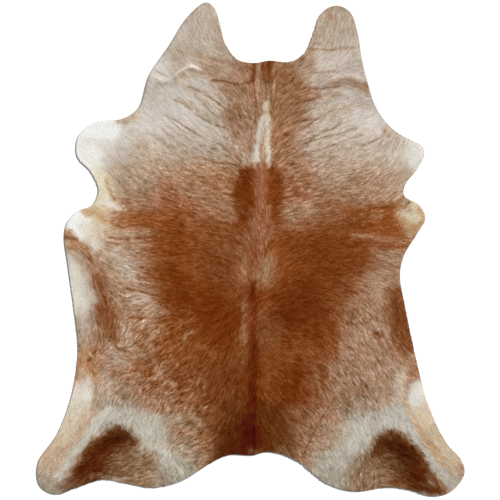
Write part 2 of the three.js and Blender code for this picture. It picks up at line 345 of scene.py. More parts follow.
# The ground colour of each area of the coat: its middle and reach in squares, its shade, and how
# strongly light and dark hairs are mixed in it: 0 not at all, 1 as a full roan.
# area, across, down, reach, shade, roan
grounds = [
    ("left flap, tip", 206, 12, 12, "greige", 0.4),
    ("left flap", 198, 36, 16, "greige", 0.3),
    ("left flap, inner side", 224, 50, 9, "greige", 0.3),
    ("left flap, root", 186, 58, 12, "greige", 0.3),
    ("left nape, outer", 218, 71, 10, "fawn", 0.3),
    ("left nape", 238, 72, 8, "cocoa", 0.3),
    ("left neck corner", 157, 67, 8, "bone", 0.2),
    ("left throat, outer", 158, 93, 12, "dove", 0.4),
    ("left throat", 188, 90, 12, "pearl", 0.5),
    ("left collar", 172, 120, 16, "pearl", 0.6),
    ("left collar, low", 150, 122, 10, "pearl", 0.5),
    ("left throat, inner", 212, 103, 9, "dove", 0.8),
    ("left collar, inner", 210, 135, 12, "dove", 0.9),
    ("left withers, outer", 172, 150, 12, "greige", 0.7),
    ("left withers, inner", 222, 152, 9, "ash", 0.9),
    ("neck, left of the mane, high", 236, 94, 9, "mouse", 0.5),
    ("neck, left of the mane", 233, 112, 7, "hazel", 0.6),
    ("neck, left of the mane, low", 238, 135, 8, "taupe", 0.8),
    ("mane, high", 256, 92, 7, "cocoa", 0.6),
    ("mane, left", 248, 120, 6, "dun", 0.8),
    ("neck, right of the mane, high", 284, 80, 12, "hazel", 0.6),
    ("neck, right of the mane", 288, 105, 12, "hazel", 0.5),
    ("neck, right of the mane, low", 284, 135, 12, "cocoa", 0.7),
    ("right nape", 303, 68, 8, "mouse", 0.3),
    ("right flap, tip", 338, 18, 10, "ash", 0.3),
    ("right flap", 338, 38, 12, "stone", 0.4),
    ("right flap, inner side", 314, 46, 8, "greige", 0.4),
    ("right flap, root", 342, 62, 14, "dove", 0.4),
    ("right throat, inner", 318, 78, 8, "greige", 0.4),
    ("right throat", 350, 92, 10, "dove", 0.4),
    ("right collar, inner", 322, 108, 9, "greige", 0.5),
    ("right collar", 348, 122, 12, "dove", 0.6),
    ("right collar, outer", 374, 122, 10, "lilac", 0.3),
    ("right withers, inner", 312, 140, 10, "greige", 0.9),
    ("right withers", 345, 145, 14, "greige", 0.7),
    ("right shoulder, outer", 388, 150, 12, "greige", 0.4),
    ("right foreleg", 410, 156, 9, "oyster", 0.1),
    ("right withers, low inner", 288, 158, 10, "hazel", 0.9),
    ("right shoulder, high", 330, 170, 14, "mouse", 0.8),
    ("right shoulder, outer low", 395, 178, 12, "mouse", 0.5),
    ("right shoulder", 360, 188, 14, "taupe", 0.7),
    ("right shoulder, inner", 298, 186, 12, "rust", 0.8),
    ("right shoulder, inner low", 298, 212, 12, "tawny", 0.9),
    ("right shoulder, low", 336, 208, 12, "cocoa", 0.6),
    ("right elbow", 412, 215, 7, "cream", 0.1),
    ("right elbow, inner", 385, 226, 12, "ginger", 0.4),
    ("right girth", 345, 226, 14, "chestnut", 0.4),
    ("right girth, inner", 300, 238, 14, "chestnut", 0.4),
    ("left foreleg", 94, 146, 12, "chalk", 0.15),
    ("left foreleg, root", 118, 152, 10, "lilac", 0.4),
    ("left shoulder, high", 150, 165, 14, "fawn", 0.7),
    ("left shoulder", 130, 185, 14, "mouse", 0.7),
    ("left shoulder, inner high", 185, 172, 12, "tawny", 0.8),
    ("left shoulder, inner", 175, 195, 12, "rust", 0.7),
    ("left shoulder, by the spine", 218, 180, 10, "clay", 0.8),
    ("left shoulder, low", 140, 210, 11, "cocoa", 0.6),
    ("left shoulder, inner low", 215, 205, 10, "cocoa", 0.9),
    ("left armpit", 104, 190, 8, "cream", 0.1),
    ("left elbow, inner", 103, 228, 9, "wheat", 0.2),
    ("left elbow", 78, 222, 7, "chalk", 0.05),
    ("left girth, outer", 122, 232, 8, "tawny", 0.5),
    ("left girth", 165, 228, 13, "chestnut", 0.5),
    ("left girth, inner", 210, 235, 13, "walnut", 0.5),
    ("spine, high", 261, 185, 6, "brick", 0.3),
    ("spine, middle", 258, 235, 6, "mocha", 0.4),
    ("spine, left of it", 245, 190, 6, "bay", 0.2),
    ("spine, right of it", 274, 190, 6, "bay", 0.2),
    ("back, left", 243, 265, 8, "walnut", 0.5),
    ("back, right", 266, 268, 8, "hazel", 0.5),
    ("left ribs, roan", 122, 258, 14, "fawn", 1.0),
    ("left ribs, inner", 150, 262, 9, "walnut", 0.7),
    ("left ribs", 185, 262, 14, "chestnut", 0.4),
    ("left ribs, by the spine", 222, 262, 10, "umber", 0.4),
    ("left flank, edge", 76, 285, 9, "oyster", 0.05),
    ("left flank, band", 98, 278, 7, "cocoa", 0.3),
    ("left flank, roan", 135, 300, 12, "taupe", 0.9),
    ("left flank", 185, 300, 14, "bay", 0.4),
    ("left flank, by the spine", 225, 305, 12, "mahogany", 0.4),
    ("left belly, edge", 84, 336, 8, "mouse", 0.4),
    ("left belly, band", 107, 320, 7, "umber", 0.5),
    ("left belly, roan", 130, 335, 10, "hazel", 1.0),
    ("left belly", 170, 335, 12, "walnut", 0.9),
    ("left loin", 205, 345, 13, "bay", 0.6),
    ("left loin, by the spine", 240, 352, 9, "umber", 0.6),
    ("right ribs, inner", 290, 262, 12, "chestnut", 0.5),
    ("right ribs", 325, 262, 15, "bay", 0.4),
    ("right ribs, outer", 360, 250, 12, "chestnut", 0.5),
    ("right waist", 388, 264, 10, "taupe", 0.6),
    ("right flank, outer", 376, 292, 11, "taupe", 0.6),
    ("right flank, edge", 395, 308, 8, "umber", 0.5),
    ("right flank", 345, 300, 13, "walnut", 0.6),
    ("right flank, inner", 305, 305, 15, "mahogany", 0.4),
    ("right loin, by the spine", 268, 330, 9, "umber", 0.5),
    ("right belly, edge", 405, 338, 7, "umber", 0.5),
    ("right belly, edge low", 404, 353, 7, "cocoa", 0.7),
    ("right belly", 366, 330, 13, "taupe", 0.8),
    ("right loin", 318, 340, 13, "chestnut", 0.6),
    ("right croup, inner", 285, 365, 14, "chestnut", 0.5),
    ("left stifle", 88, 365, 8, "clay", 0.3),
    ("left thigh, high", 125, 365, 12, "taupe", 0.8),
    ("left thigh", 158, 372, 12, "umber", 0.8),
    ("left thigh, inner", 190, 375, 12, "umber", 0.9),
    ("left croup", 225, 378, 13, "russet", 0.5),
    ("left thigh, outer low", 118, 390, 11, "dun", 0.8),
    ("left thigh, low", 162, 396, 11, "mocha", 1.0),
    ("left croup, low", 206, 408, 11, "umber", 0.7),
    ("left buttock", 188, 428, 11, "drab", 1.0),
    ("left buttock, low", 198, 446, 9, "dun", 0.9),
    ("rump, left", 230, 422, 12, "bark", 0.9),
    ("tail root", 250, 434, 8, "oxblood", 0.3),
    ("rump, right", 280, 432, 12, "bark", 0.4),
    ("rump, left low", 226, 444, 10, "seal", 0.5),
    ("right croup, low", 302, 424, 9, "mocha", 0.9),
    ("right croup", 300, 385, 12, "bay", 0.5),
    ("right thigh, inner", 325, 385, 11, "cocoa", 0.8),
    ("right thigh", 350, 365, 13, "taupe", 0.8),
    ("right thigh, outer", 380, 365, 12, "taupe", 0.9),
    ("right thigh, low", 355, 392, 12, "drab", 0.8),
    ("right buttock", 314, 434, 12, "taupe", 0.9),
    ("right thigh, lilac", 332, 432, 8, "mouse", 0.7),
    ("right stifle", 411, 371, 6, "cocoa", 0.4),
    ("right hock, front", 392, 388, 8, "mouse", 0.5),
    ("left hock, front", 120, 412, 9, "pewter", 0.6),
    ("left shank, pale", 148, 430, 11, "frost", 0.4),
    ("left shank, low", 174, 470, 9, "pewter", 0.5),
    ("right shank, pale", 358, 432, 12, "frost", 0.4),
    ("right shank, low", 335, 462, 12, "pewter", 0.4),
    ("right shank, outer", 400, 420, 9, "silver", 0.4),
    ("left hind leg, outer", 70, 415, 10, "oat", 0.2),
    ("left hind foot, outer", 50, 455, 10, "sand", 0.3),
    ("left hind foot, low", 48, 485, 8, "slate", 0.3),
    ("right hind leg, outer", 425, 410, 8, "wheat", 0.2),
    ("right hind leg, low", 435, 440, 7, "sand", 0.2),
    ("right hock, pale strip", 421, 440, 5, "stone", 0.3),
    ("right hind foot, outer", 450, 458, 8, "sand", 0.2),
    ("right hind foot, low", 452, 482, 8, "stone", 0.3),
    ("left hock", 112, 462, 10, "mud", 1.0),
    ("left hock, inner", 138, 466, 9, "drab", 0.9),
    ("right hock", 370, 475, 12, "drab", 0.8),
    ("right hock, patch", 400, 453, 10, "bark", 1.2),
]

# Patches, wrinkles and streaks over the ground, in the order in which they cover each other.
# The marks along creases, wrinkles and the two neck ridges are painted shade and painted highlights.
# mark, half width, firmness of its border (2 is soft, 4 is clean), shade, strength, line
marks = [
    # neck flaps
    ("left flap, outer light", 5, 2, "pearl", 0.5, [(185, 28), (172, 46), (162, 60)]),
    ("left flap, inner shade", 6, 2, "mouse", 0.5, [(219, 30), (225, 47), (235, 58)]),
    ("left flap, middle light", 9, 2, "dove", 0.5, [(205, 30), (205, 48)]),
    ("left flap, taupe band", 8, 2, "ash", 0.5, [(172, 52), (195, 52), (215, 60), (232, 68)]),
    # painted shade: a dark line in the left flap's crease and a tan one along a wrinkle beside it
    ("left flap, wrinkle", 1.6, 2, "cocoa", 0.5, [(192, 52), (203, 58), (215, 60), (235, 65)]),
    ("left flap, painted shade of a wrinkle", 3, 2, "sand", 0.35, [(180, 52), (196, 53), (207, 60)]),
    ("left nape, pinkish", 6, 2, "taupe", 0.6, [(206, 68), (214, 70)]),
    # painted light on the left neck ridge, lit from the upper right: painted highlights along its foot and
    # its top, then painted shade below it
    ("left ridge, painted highlight at its foot", 2.2, 2, "shell", 0.6,
     [(150, 72), (155, 76), (161, 80.5), (167, 81), (171, 79.5)]),
    ("left ridge, light", 1.2, 2, "milk", 0.9,
     [(171, 79), (176, 75), (181, 71), (186, 68), (191, 66.5), (195, 67), (200, 70)]),
    ("left ridge, painted shade", 4.5, 2.5, "sand", 0.7, [(176, 80), (183, 76), (190, 72), (197, 73)]),
    ("left ridge, thin painted shade", 1, 2, "mouse", 0.6, [(155, 70), (160, 73), (164, 75)]),
    ("left ridge, dash", 0.9, 2, "umber", 0.6, [(200, 71), (201.5, 74)]),
    ("left throat, light under the ridge", 6, 2, "lilac", 0.4, [(186, 86), (205, 82)]),
    # painted shade of the left throat's crease and fine wrinkles: a tan band beside the crease and dark
    # lines in them, with a painted highlight under the crease
    ("left throat, painted shade beside the crease", 3.4, 2, "sand", 0.6, [(186, 88), (198, 93), (208, 100), (222, 108)]),
    ("left throat, crease", 0.8, 2, "dun", 0.9,
     [(188, 87), (190, 86), (198, 90.5), (204, 94), (210, 97.5), (215, 101), (221, 106), (228, 111.5)]),
    ("left throat, painted highlight under the crease", 1.4, 2, "oat", 0.5, [(200, 93.5), (208, 98.5), (214, 103)]),
    ("left throat, line 1", 0.6, 2, "dun", 0.6,
     [(193, 93), (198, 98), (205, 105), (211, 111), (218, 119)]),
    ("left throat, line 2", 0.6, 2, "dun", 0.4, [(189, 99), (196, 106), (199, 111)]),
    ("left throat, line 3", 0.6, 2, "dun", 0.6, [(203, 103), (209, 110), (216, 116), (220, 120)]),
    ("left collar, pale low", 5, 2, "oat", 0.65, [(156, 142), (170, 144)]),
    ("left collar, pale inner", 6, 2, "oat", 0.6, [(188, 127), (198, 132)]),
    ("left throat, pale", 5, 2, "oat", 0.45, [(202, 114), (214, 120)]),
    ("left shoulder, pale high", 8, 2, "oat", 0.45, [(130, 156), (145, 158)]),
    ("left shoulder, pale outer", 6, 2, "sand", 0.75, [(118, 168), (128, 172)]),
    ("left shoulder, white low", 6, 2, "bone", 0.5, [(118, 136), (126, 139)]),
    # painted shade of the left collar's crease and fine wrinkles: dark lines in them and a tan band over
    # the crease
    ("left collar, crease", 0.8, 2, "dun", 0.85,
     [(175, 100), (182, 103), (188, 107), (193, 111.5), (198, 116), (203, 119), (208, 121.5),
      (214, 125),
      (220, 127), (228, 128)]),
    ("left collar, painted shade over the crease", 2.2, 2, "sand", 0.65,
     [(176, 98), (190, 104.5), (204, 115), (220, 124)]),
    ("left collar, line 1", 0.7, 2, "dun", 0.6,
     [(165, 115), (172, 119), (178, 122), (183, 126), (190, 130.5), (196, 134)]),
    ("left collar, line 2", 0.7, 2, "dun", 0.4, [(166, 126), (173, 130), (179, 135)]),
    ("left collar, line 3", 0.7, 2, "dun", 0.4, [(180, 133), (190, 140), (197, 143)]),
    ("left collar, line 4", 0.7, 2, "dun", 0.4, [(152, 135), (160, 140)]),
    ("left collar, line 5", 0.7, 2, "dun", 0.4, [(159, 138), (168, 147)]),
    ("left collar, line 6", 0.7, 2, "dun", 0.4, [(165, 133), (175, 138)]),
    ("left collar, line 7", 0.7, 2, "dun", 0.5,
     [(162, 129), (173, 138), (184, 145.5), (196, 151), (211, 156)]),
    ("left collar, line 8", 0.7, 2, "dun", 0.45, [(167, 118), (180, 129), (194, 138)]),
    ("left collar, line 9", 0.6, 2, "dun", 0.4, [(158, 134.5), (169, 145), (180, 153)]),
    ("left collar, line 10", 0.7, 2, "dun", 0.5, [(184, 125.5), (198, 134.5), (214, 142)]),
    ("left collar, line 11", 0.6, 2, "dun", 0.35, [(173, 149), (187, 156), (202, 160)]),
    ("left collar, grey", 5, 2, "stone", 0.5, [(178, 145), (196, 148)]),
    # painted shade: dark lines in the wrinkles at the foot of the neck
    ("left withers, line 1", 0.8, 2, "hazel", 0.45, [(200, 145), (215, 149), (230, 158)]),
    ("left withers, line 2", 0.8, 2, "hazel", 0.45, [(212, 141), (222, 147), (236, 158)]),
    ("left withers, line 3", 1.1, 2, "umber", 0.6,
     [(205, 158), (215, 163), (230, 163), (240, 166), (251, 168)]),
    ("left withers, pale", 4, 2, "oat", 0.3, [(237, 147), (244, 156)]),
    ("left withers, brown", 4, 2, "cocoa", 0.4, [(230, 149), (238, 153)]),
    ("left withers, brown low", 4, 2, "cocoa", 0.4, [(230, 159), (238, 160)]),
    # nape and mane
    # painted shade: the dark line in the left nape's crease
    ("left nape, crease", 1.1, 2, "umber", 0.75,
     [(212, 80), (220, 80.5), (228, 82), (235, 84), (241, 84), (247, 82), (251, 81.5)]),
    ("left nape, under the crease", 5, 2, "hazel", 0.6, [(222, 90), (240, 90)]),
    ("notch, left dark", 2.6, 2, "chestnut", 0.7, [(252.5, 62), (253.5, 80)]),
    ("notch, left core", 1.3, 2, "seal", 0.6, [(254.5, 63), (254.5, 79)]),
    ("notch, light", 2, 2, "taupe", 0.8, [(258.5, 63), (258.5, 84), (257.5, 104)]),
    ("notch, right dark", 5.5, 3, "bay", 0.8, [(267, 61), (267, 78)]),
    ("notch, right core", 2.4, 2, "seal", 0.8, [(270.5, 62), (270, 72)]),
    ("mane, olive", 5, 2.5, "drab", 0.7, [(268, 82), (268, 98)]),
    ("mane, cream hairs 1", 0.8, 2, "straw", 0.5, [(262.5, 80), (264, 88), (263, 97)]),
    ("mane, cream hairs 2", 0.8, 2, "straw", 0.5, [(274, 66), (275, 78), (273, 88), (273.5, 95)]),
    ("mane, cream hairs 3", 0.8, 2, "straw", 0.45, [(259.5, 80), (258, 92), (259, 104)]),
    ("mane, cream hairs 4", 0.7, 2, "straw", 0.35, [(267, 84), (268.5, 91), (267.5, 100)]),
    ("mane, dark arc", 1, 2, "seal", 0.7, [(262, 103), (265, 101), (268, 99.5), (271, 101)]),
    ("mane, right light", 2.5, 2, "taupe", 0.6, [(276, 64), (276, 76)]),
    ("right nape, shade", 6, 2, "walnut", 0.35, [(285, 75), (300, 82), (308, 95)]),
    # painted shade: the dark line in the right nape's crease
    ("right nape, crease", 1.1, 2, "umber", 0.6,
     [(292, 103.5), (300, 103), (306, 101), (313, 99.5), (320, 97)]),
    ("right nape, dark edge", 3.5, 2, "hazel", 0.6, [(300, 58), (308, 60), (311, 66)]),
    # blaze
    ("blaze, high", 3.5, 3, "oat", 0.9, [(266, 103), (266, 112), (266, 122)]),
    ("blaze, left", 3.9, 3, "oyster", 0.9, [(264, 118), (260, 132), (257, 146), (256, 158)]),
    ("blaze, left tip", 1.7, 2.5, "oat", 0.7, [(256, 154), (254.5, 167)]),
    ("blaze, right", 3.5, 3, "oat", 0.9, [(267, 118), (267.5, 134), (268, 150), (268.3, 160)]),
    ("blaze, right tip", 1.6, 2.5, "oat", 0.7, [(268.5, 156), (269, 169)]),
    ("blaze, gap", 1.6, 2, "fawn", 0.8, [(261.8, 142), (261.5, 168)]),
    ("blaze, gap foot", 1.7, 2, "rust", 0.6, [(262.2, 161), (262, 173)]),
    ("blaze, middle", 3.2, 2.4, "dove", 0.55, [(264.3, 121), (263.5, 130), (262.5, 139)]),
    ("blaze, brown hairs 1", 0.8, 2, "taupe", 0.35, [(264, 122), (261, 138), (259, 152)]),
    ("blaze, brown hairs 2", 0.7, 2, "taupe", 0.3, [(266, 108), (265, 128), (266, 146)]),
    ("blaze, bright left", 1.3, 2, "oyster", 0.4, [(256, 148), (255, 160)]),
    ("blaze, bright right", 1.3, 2, "oyster", 0.4, [(268, 146), (268.5, 160)]),
    # right neck
    ("right flap, spot", 3.4, 2.5, "taupe", 0.75, [(329, 15), (333, 18)]),
    ("right flap, inner edge", 3.5, 2, "mouse", 0.4, [(319, 28), (313, 44), (308, 54)]),
    # painted shade: the dark line in the right flap's crease
    ("right flap, crease", 1.1, 2, "hazel", 0.6, [(310, 49.5), (320, 49), (332, 50)]),
    ("right flap, crease end", 1.1, 2, "hazel", 0.45,
     [(332, 50), (343, 48.5), (352, 47.5), (358, 47.5)]),
    ("right flap, dash", 0.9, 2, "hazel", 0.6, [(313, 43), (320, 43.5)]),
    ("right flap, tan low inner", 4, 2, "taupe", 0.6, [(312, 52), (314, 60)]),
    ("right flap, faint line", 1.1, 2, "dun", 0.5, [(303, 74), (320, 72.5), (335, 70.5)]),
    ("right throat, pale", 5, 2, "lilac", 0.5, [(318, 62), (340, 66)]),
    # painted light on the right neck ridge, lit from the upper right: painted shade on its lower slope with
    # a dark line at its foot, and painted highlights on its crest and on the flat below it
    ("right ridge, painted shade on its lower slope", 5.6, 2.4, "mouse", 0.85,
     [(334, 83), (341, 81), (349, 81), (357, 83.5), (366, 88)]),
    ("right ridge, dark foot", 0.9, 2, "umber", 0.5, [(307, 89), (321, 88.5), (331, 87.5), (338, 86)]),
    ("right ridge, spot 1", 1.8, 2, "umber", 0.7, [(365, 84), (367, 87)]),
    ("right ridge, light", 2.6, 2, "pearl", 0.5, [(340, 90), (350, 93)]),
    ("right ridge, light above", 2, 2, "pearl", 0.5, [(334, 78), (346, 74), (358, 76)]),
    ("right collar, tan", 2.6, 2, "taupe", 0.5, [(322, 97), (330, 95), (338, 93)]),
    ("right collar, dark inner", 5, 2, "cocoa", 0.55, [(306, 92), (316, 96)]),
    # painted shade of the right collar's creases and fine wrinkles: dark lines in them and a tan band along
    # the collar crease
    ("right collar, crease", 1, 2, "umber", 0.5,
     [(298, 121), (306, 120.5), (312, 120), (320, 119), (325, 116)]),
    ("right collar, painted shade along the crease", 3.2, 2, "sand", 0.6,
     [(322, 117.5), (328, 113), (340, 110), (353, 108), (366, 105)]),
    ("right collar, line 1", 0.9, 2, "umber", 0.5,
     [(285, 135), (295, 131), (303, 129), (309, 126), (312, 122)]),
    ("right collar, line 2", 1.0, 2, "dun", 0.85,
     [(296, 142), (306, 140), (315, 136), (325, 131), (333, 128), (342, 122)]),
    ("right collar, line 3", 1.0, 2, "dun", 0.8,
     [(300, 144), (312, 141), (322, 138), (333, 135), (345, 132), (357, 128)]),
    ("right collar, line 4", 1.0, 2, "dun", 0.7,
     [(318, 150), (330, 146), (340, 143), (352, 137), (363, 135)]),
    ("right collar, line 5", 0.9, 2, "hazel", 0.5, [(303, 156), (315, 151)]),
    ("right collar, lilac", 7, 2, "pearl", 0.65, [(358, 113), (372, 120), (380, 130)]),
    # painted shade: the dark line in the right shoulder's crease
    ("right shoulder, crease", 1.1, 2, "dun", 0.7,
     [(360, 146), (366, 144.5), (372, 142), (378, 139), (383, 135), (386, 131)]),
    ("right shoulder, tan", 2.6, 2, "fawn", 0.7, [(385, 131), (390, 137)]),
    ("right shoulder, hairs", 0.8, 2, "drab", 0.4, [(378, 147), (383, 140)]),
    ("right shoulder, hairs 2", 0.8, 2, "drab", 0.4, [(393, 144), (398, 136)]),
    # forelegs and elbows
    ("right foreleg, brow", 3, 2, "sand", 0.5, [(387, 129), (396, 136)]),
    ("right foreleg, root", 5, 2, "dove", 0.5, [(396, 142), (392, 160)]),
    ("right foreleg, tip", 7, 2.4, "bone", 0.8, [(415, 150), (415, 162)]),
    ("right foreleg, under edge", 2.6, 2, "stone", 0.7, [(408, 176), (402, 188)]),
    ("right armpit, light stripes", 1.1, 2, "straw", 0.7, [(394, 200), (404, 192)]),
    ("right armpit, dark stripe", 1, 2, "ginger", 0.6, [(396, 204), (406, 196)]),
    # painted shade: the dark line in the right elbow's crease and a band of it below the crease
    ("right elbow, crease", 1.4, 2, "mahogany", 0.85,
     [(370, 209), (375, 208.5), (385, 208), (393, 207.5), (402, 206.5), (406, 205), (409, 202.5)]),
    ("right elbow, painted shade below the crease", 4, 2, "ginger", 0.6, [(345, 212), (375, 211), (400, 209)]),
    ("right elbow, cream", 6, 2.4, "wheat", 0.9, [(402, 211), (413, 212), (412, 218)]),
    ("right elbow, rim", 3, 2, "honey", 0.75, [(419, 210), (423, 218), (419, 226), (412, 230)]),
    ("right elbow, low", 4, 2, "honey", 0.6, [(402, 226), (414, 228)]),
    ("right elbow, hairs", 2.4, 2, "honey", 0.6, [(396, 214), (402, 222)]),
    ("right elbow, rust", 6, 2, "ginger", 0.7, [(375, 222), (398, 232)]),
    ("right girth, light streak", 2.6, 2, "tawny", 0.65,
     [(352, 235.5), (366, 237), (382, 239), (396, 241), (407, 242.5)]),
    ("right girth, rust streak", 1.8, 2, "ginger", 0.8, [(385, 245), (408, 247)]),
    ("right girth, dark under", 2.4, 2, "chestnut", 0.7, [(345, 238), (370, 243), (386, 248)]),
    ("right waist, light", 6, 2, "mouse", 0.35, [(376, 252), (402, 256)]),
    ("right waist, dark line", 1.3, 2, "hazel", 0.6, [(372, 265), (398, 268)]),
    ("right waist, line", 1.1, 2, "umber", 0.5, [(355, 262), (385, 262)]),
    ("right foreleg, tip light", 3, 2, "milk", 0.5, [(417, 149), (419, 157)]),
    ("left foreleg, white", 8, 4, "chalk", 0.9, [(100, 130), (112, 132)]),
    ("left foreleg, grey", 7, 2, "milk", 0.7, [(84, 142), (84, 158), (92, 166)]),
    ("left foreleg, faint grey", 3, 2, "pearl", 0.45, [(89, 140), (97, 143), (104, 146)]),
    ("left foreleg, faint cream", 2, 2, "cream", 0.4, [(100, 150), (112, 153)]),
    ("left foreleg, faint hairs", 2.2, 2, "dove", 0.45, [(104, 160), (112, 158), (120, 160)]),
    ("left foreleg, tan edge", 2.6, 2, "fawn", 0.8, [(118, 121), (130, 121), (134, 116)]),
    ("left foreleg, cream wedge", 3, 2, "shell", 0.6, [(126, 128), (133, 120), (138, 113)]),
    ("left shoulder corner, tan", 3, 2, "straw", 0.6, [(137, 112), (136, 118)]),
    ("left foreleg, low", 5, 2, "cream", 0.5, [(96, 168), (101, 178)]),
    ("left armpit, cream", 6, 3, "cream", 0.95, [(102, 178), (104, 196)]),
    ("left armpit, point", 4, 3, "shell", 0.95, [(104, 202), (114, 206), (121, 209)]),
    ("left armpit, tan rim", 1.7, 2, "honey", 0.75,
     [(106, 178), (108, 187), (112, 195), (118, 203), (124, 209)]),
    ("left elbow, tan top", 4, 3, "honey", 0.75, [(84, 213), (95, 212), (102, 217)]),
    ("left elbow, tan top light", 2, 2, "straw", 0.6, [(91, 208), (100, 210), (112, 211)]),
    ("left elbow, tan inner", 4, 2, "honey", 0.6, [(104, 221), (112, 222)]),
    ("left elbow, white", 5.5, 3, "chalk", 0.9, [(72, 218), (76, 217), (71, 226)]),
    ("left elbow, cream wedge", 4.6, 2.2, "shell", 0.75, [(82, 226), (90, 236), (96, 246)]),
    ("left elbow, brown", 5.5, 3, "copper", 0.75, [(67, 235), (74, 241), (81, 248), (86, 254)]),
    ("left elbow, tan low", 4.5, 2.4, "honey", 0.8, [(66, 246), (76, 250)]),
    ("left elbow, dark line", 1.8, 2, "umber", 0.75, [(65, 237.5), (70, 238), (76, 239)]),
    ("left elbow, dark corner", 4, 2, "umber", 0.6, [(72, 250), (82, 254)]),
    # left girth and flank
    ("left girth, rust", 6, 2, "ginger", 0.9, [(122, 219), (140, 218), (158, 220)]),
    ("left girth, tan start", 6, 2, "clay", 0.45, [(113, 217), (124, 219)]),
    ("left girth, line 1", 1, 2, "rust", 0.45, [(111, 222), (118, 217), (124, 213)]),
    ("left girth, line 2", 1.2, 2, "chestnut", 0.55,
     [(120, 228), (130, 227), (140, 225.5), (152, 226)]),
    ("left girth, line 3", 0.9, 2, "chestnut", 0.6, [(112, 224), (122, 227)]),
    ("left girth, light", 2.8, 2, "fawn", 0.5, [(106, 234), (122, 233), (146, 233)]),
    # painted shade: the darker streak lies in the left elbow's crease
    ("left girth, dark streak", 1.2, 2, "rust", 0.65,
     [(110, 238), (118, 238.5), (130, 240), (140, 239), (149, 238)]),
    ("left ribs, pink light", 3, 2, "taupe", 0.5, [(108, 244), (130, 245), (150, 245)]),
    ("left ribs, line 1", 1.1, 2, "chestnut", 0.7, [(137, 277), (150, 278), (165, 279)]),
    ("left ribs, line 2", 1, 2, "umber", 0.6, [(135, 256), (148, 258), (160, 258)]),
    ("left ribs, line 3", 1, 2, "umber", 0.7, [(140, 267), (150, 268.5), (160, 267)]),
    ("left ribs, line 4", 1, 2, "umber", 0.6, [(147, 285), (153, 287), (165, 286)]),
    # painted shade: dark lines in the flank's and the belly's creases
    ("left ribs, line 5", 1.1, 2, "umber", 0.75, [(128, 290), (137, 290.5), (147, 293), (155, 296)]),
    ("left belly, line", 1.1, 2, "chestnut", 0.8,
     [(130, 317.5), (143, 318.5), (155, 317.5), (180, 316)]),
    ("left ribs, pale 1", 5, 2, "dove", 0.55, [(116, 254), (117, 256)]),
    ("left ribs, pale 2", 6, 2, "dove", 0.55, [(126, 270), (132, 274)]),
    ("left ribs, pale 3", 4.5, 2, "dove", 0.3, [(137, 262), (141, 263)]),
    ("left ribs, pale 4", 4.5, 2, "dove", 0.5, [(120, 262), (126, 263)]),
    ("left flank, pale 1", 6, 2, "dove", 0.35, [(132, 299), (139, 300)]),
    ("left flank, pale 2", 6, 2, "fawn", 0.45, [(145, 306), (154, 312)]),
    ("left flank, pale 3", 3.5, 2, "dove", 0.5, [(144, 300), (148, 301)]),
    ("left flank, brown", 5, 2, "rust", 0.25, [(160, 300), (168, 306)]),
    ("left flank, fawn", 5, 2, "fawn", 0.45, [(154, 304), (161, 314)]),
    ("left flank, brown outer", 4, 2, "hazel", 0.4, [(112, 300), (116, 308)]),
    ("left belly, pale 1", 5.5, 2, "dove", 0.4, [(124, 326), (130, 329)]),
    ("left belly, pale 2", 6, 2, "fawn", 0.5, [(146, 322), (152, 328)]),
    ("left belly, pale 3", 4.5, 2, "dove", 0.45, [(122, 333), (128, 336)]),
    ("left belly, pale 4", 4.5, 2, "stone", 0.4, [(134, 347), (140, 347)]),
    ("left belly, pale 5", 4, 2, "fawn", 0.5, [(147, 346), (155, 349)]),
    ("left belly, dark", 6, 2, "bay", 0.65, [(174, 336), (186, 339)]),
    ("left belly, brown 1", 4, 2, "rust", 0.5, [(134, 331), (140, 331)]),
    ("left belly, brown 2", 3.4, 2, "umber", 0.8, [(138, 345), (144, 346)]),
    ("left belly, diagonal light", 2.6, 2, "fawn", 0.6, [(150, 340), (157, 332), (164, 326)]),
    ("left belly, light streaks", 2, 2, "taupe", 0.6, [(180, 346), (186, 338), (191, 331)]),
    ("left flank, band high", 4.4, 2.2, "cocoa", 0.62, [(87, 253), (92, 266), (97, 282)]),
    ("left flank, band", 6, 2, "umber", 0.65, [(99, 280), (103, 300), (107, 314)]),
    ("left flank, band core", 3.4, 2, "umber", 0.55, [(105, 298), (109, 312), (113, 322)]),
    ("left flank, band low", 5, 2, "umber", 0.65, [(110, 316), (113, 328), (114, 338)]),
    ("left flank, band foot", 7, 2, "hazel", 0.65, [(102, 322), (99, 345)]),
    ("left flank, lilac edge", 3.6, 2, "greige", 0.65, [(84, 268), (88, 290), (93, 314), (94, 324)]),
    ("left flank, cream edge", 7, 2.2, "ivory", 0.85, [(74, 258), (76, 280), (79, 298), (81, 308)]),
    ("left elbow, mouse shade", 5.5, 2, "mouse", 0.65, [(76, 254), (80, 260), (86, 270)]),
    ("left belly, soft edge", 5, 2, "dove", 0.75, [(82, 310), (84, 330)]),
    # left hind leg, and its elbow's crease
    ("left stifle, tan", 5, 2, "honey", 0.3, [(86, 364), (88, 376)]),
    ("left stifle, brown", 5, 2, "cocoa", 0.65, [(98, 350), (106, 362)]),
    ("left elbow crease, fawn", 4, 2, "fawn", 0.3, [(148, 234), (160, 235)]),
    ("left stifle, cream", 4, 2, "oat", 0.5, [(82, 370), (86, 378)]),
    ("left stifle, tan streak", 2.4, 2, "honey", 0.5, [(91, 366), (96, 378)]),
    # painted shade and a painted highlight at the left stifle's pucker
    ("left stifle, pucker", 1.2, 2, "umber", 0.85, [(96, 350), (92, 354), (91, 358), (87.5, 361)]),
    ("left stifle, painted highlight on the pucker", 1.1, 2, "straw", 0.8, [(90, 352), (92, 356)]),
    ("left stifle, rust line", 1.3, 2, "copper", 0.5, [(87, 361), (89, 367), (93, 373), (97, 379)]),
    ("left hock, lilac", 7, 2, "dove", 0.5, [(106, 372), (107, 384), (104, 398)]),
    ("left hind leg, cream", 5, 2, "shell", 0.6, [(77, 385), (74, 402)]),
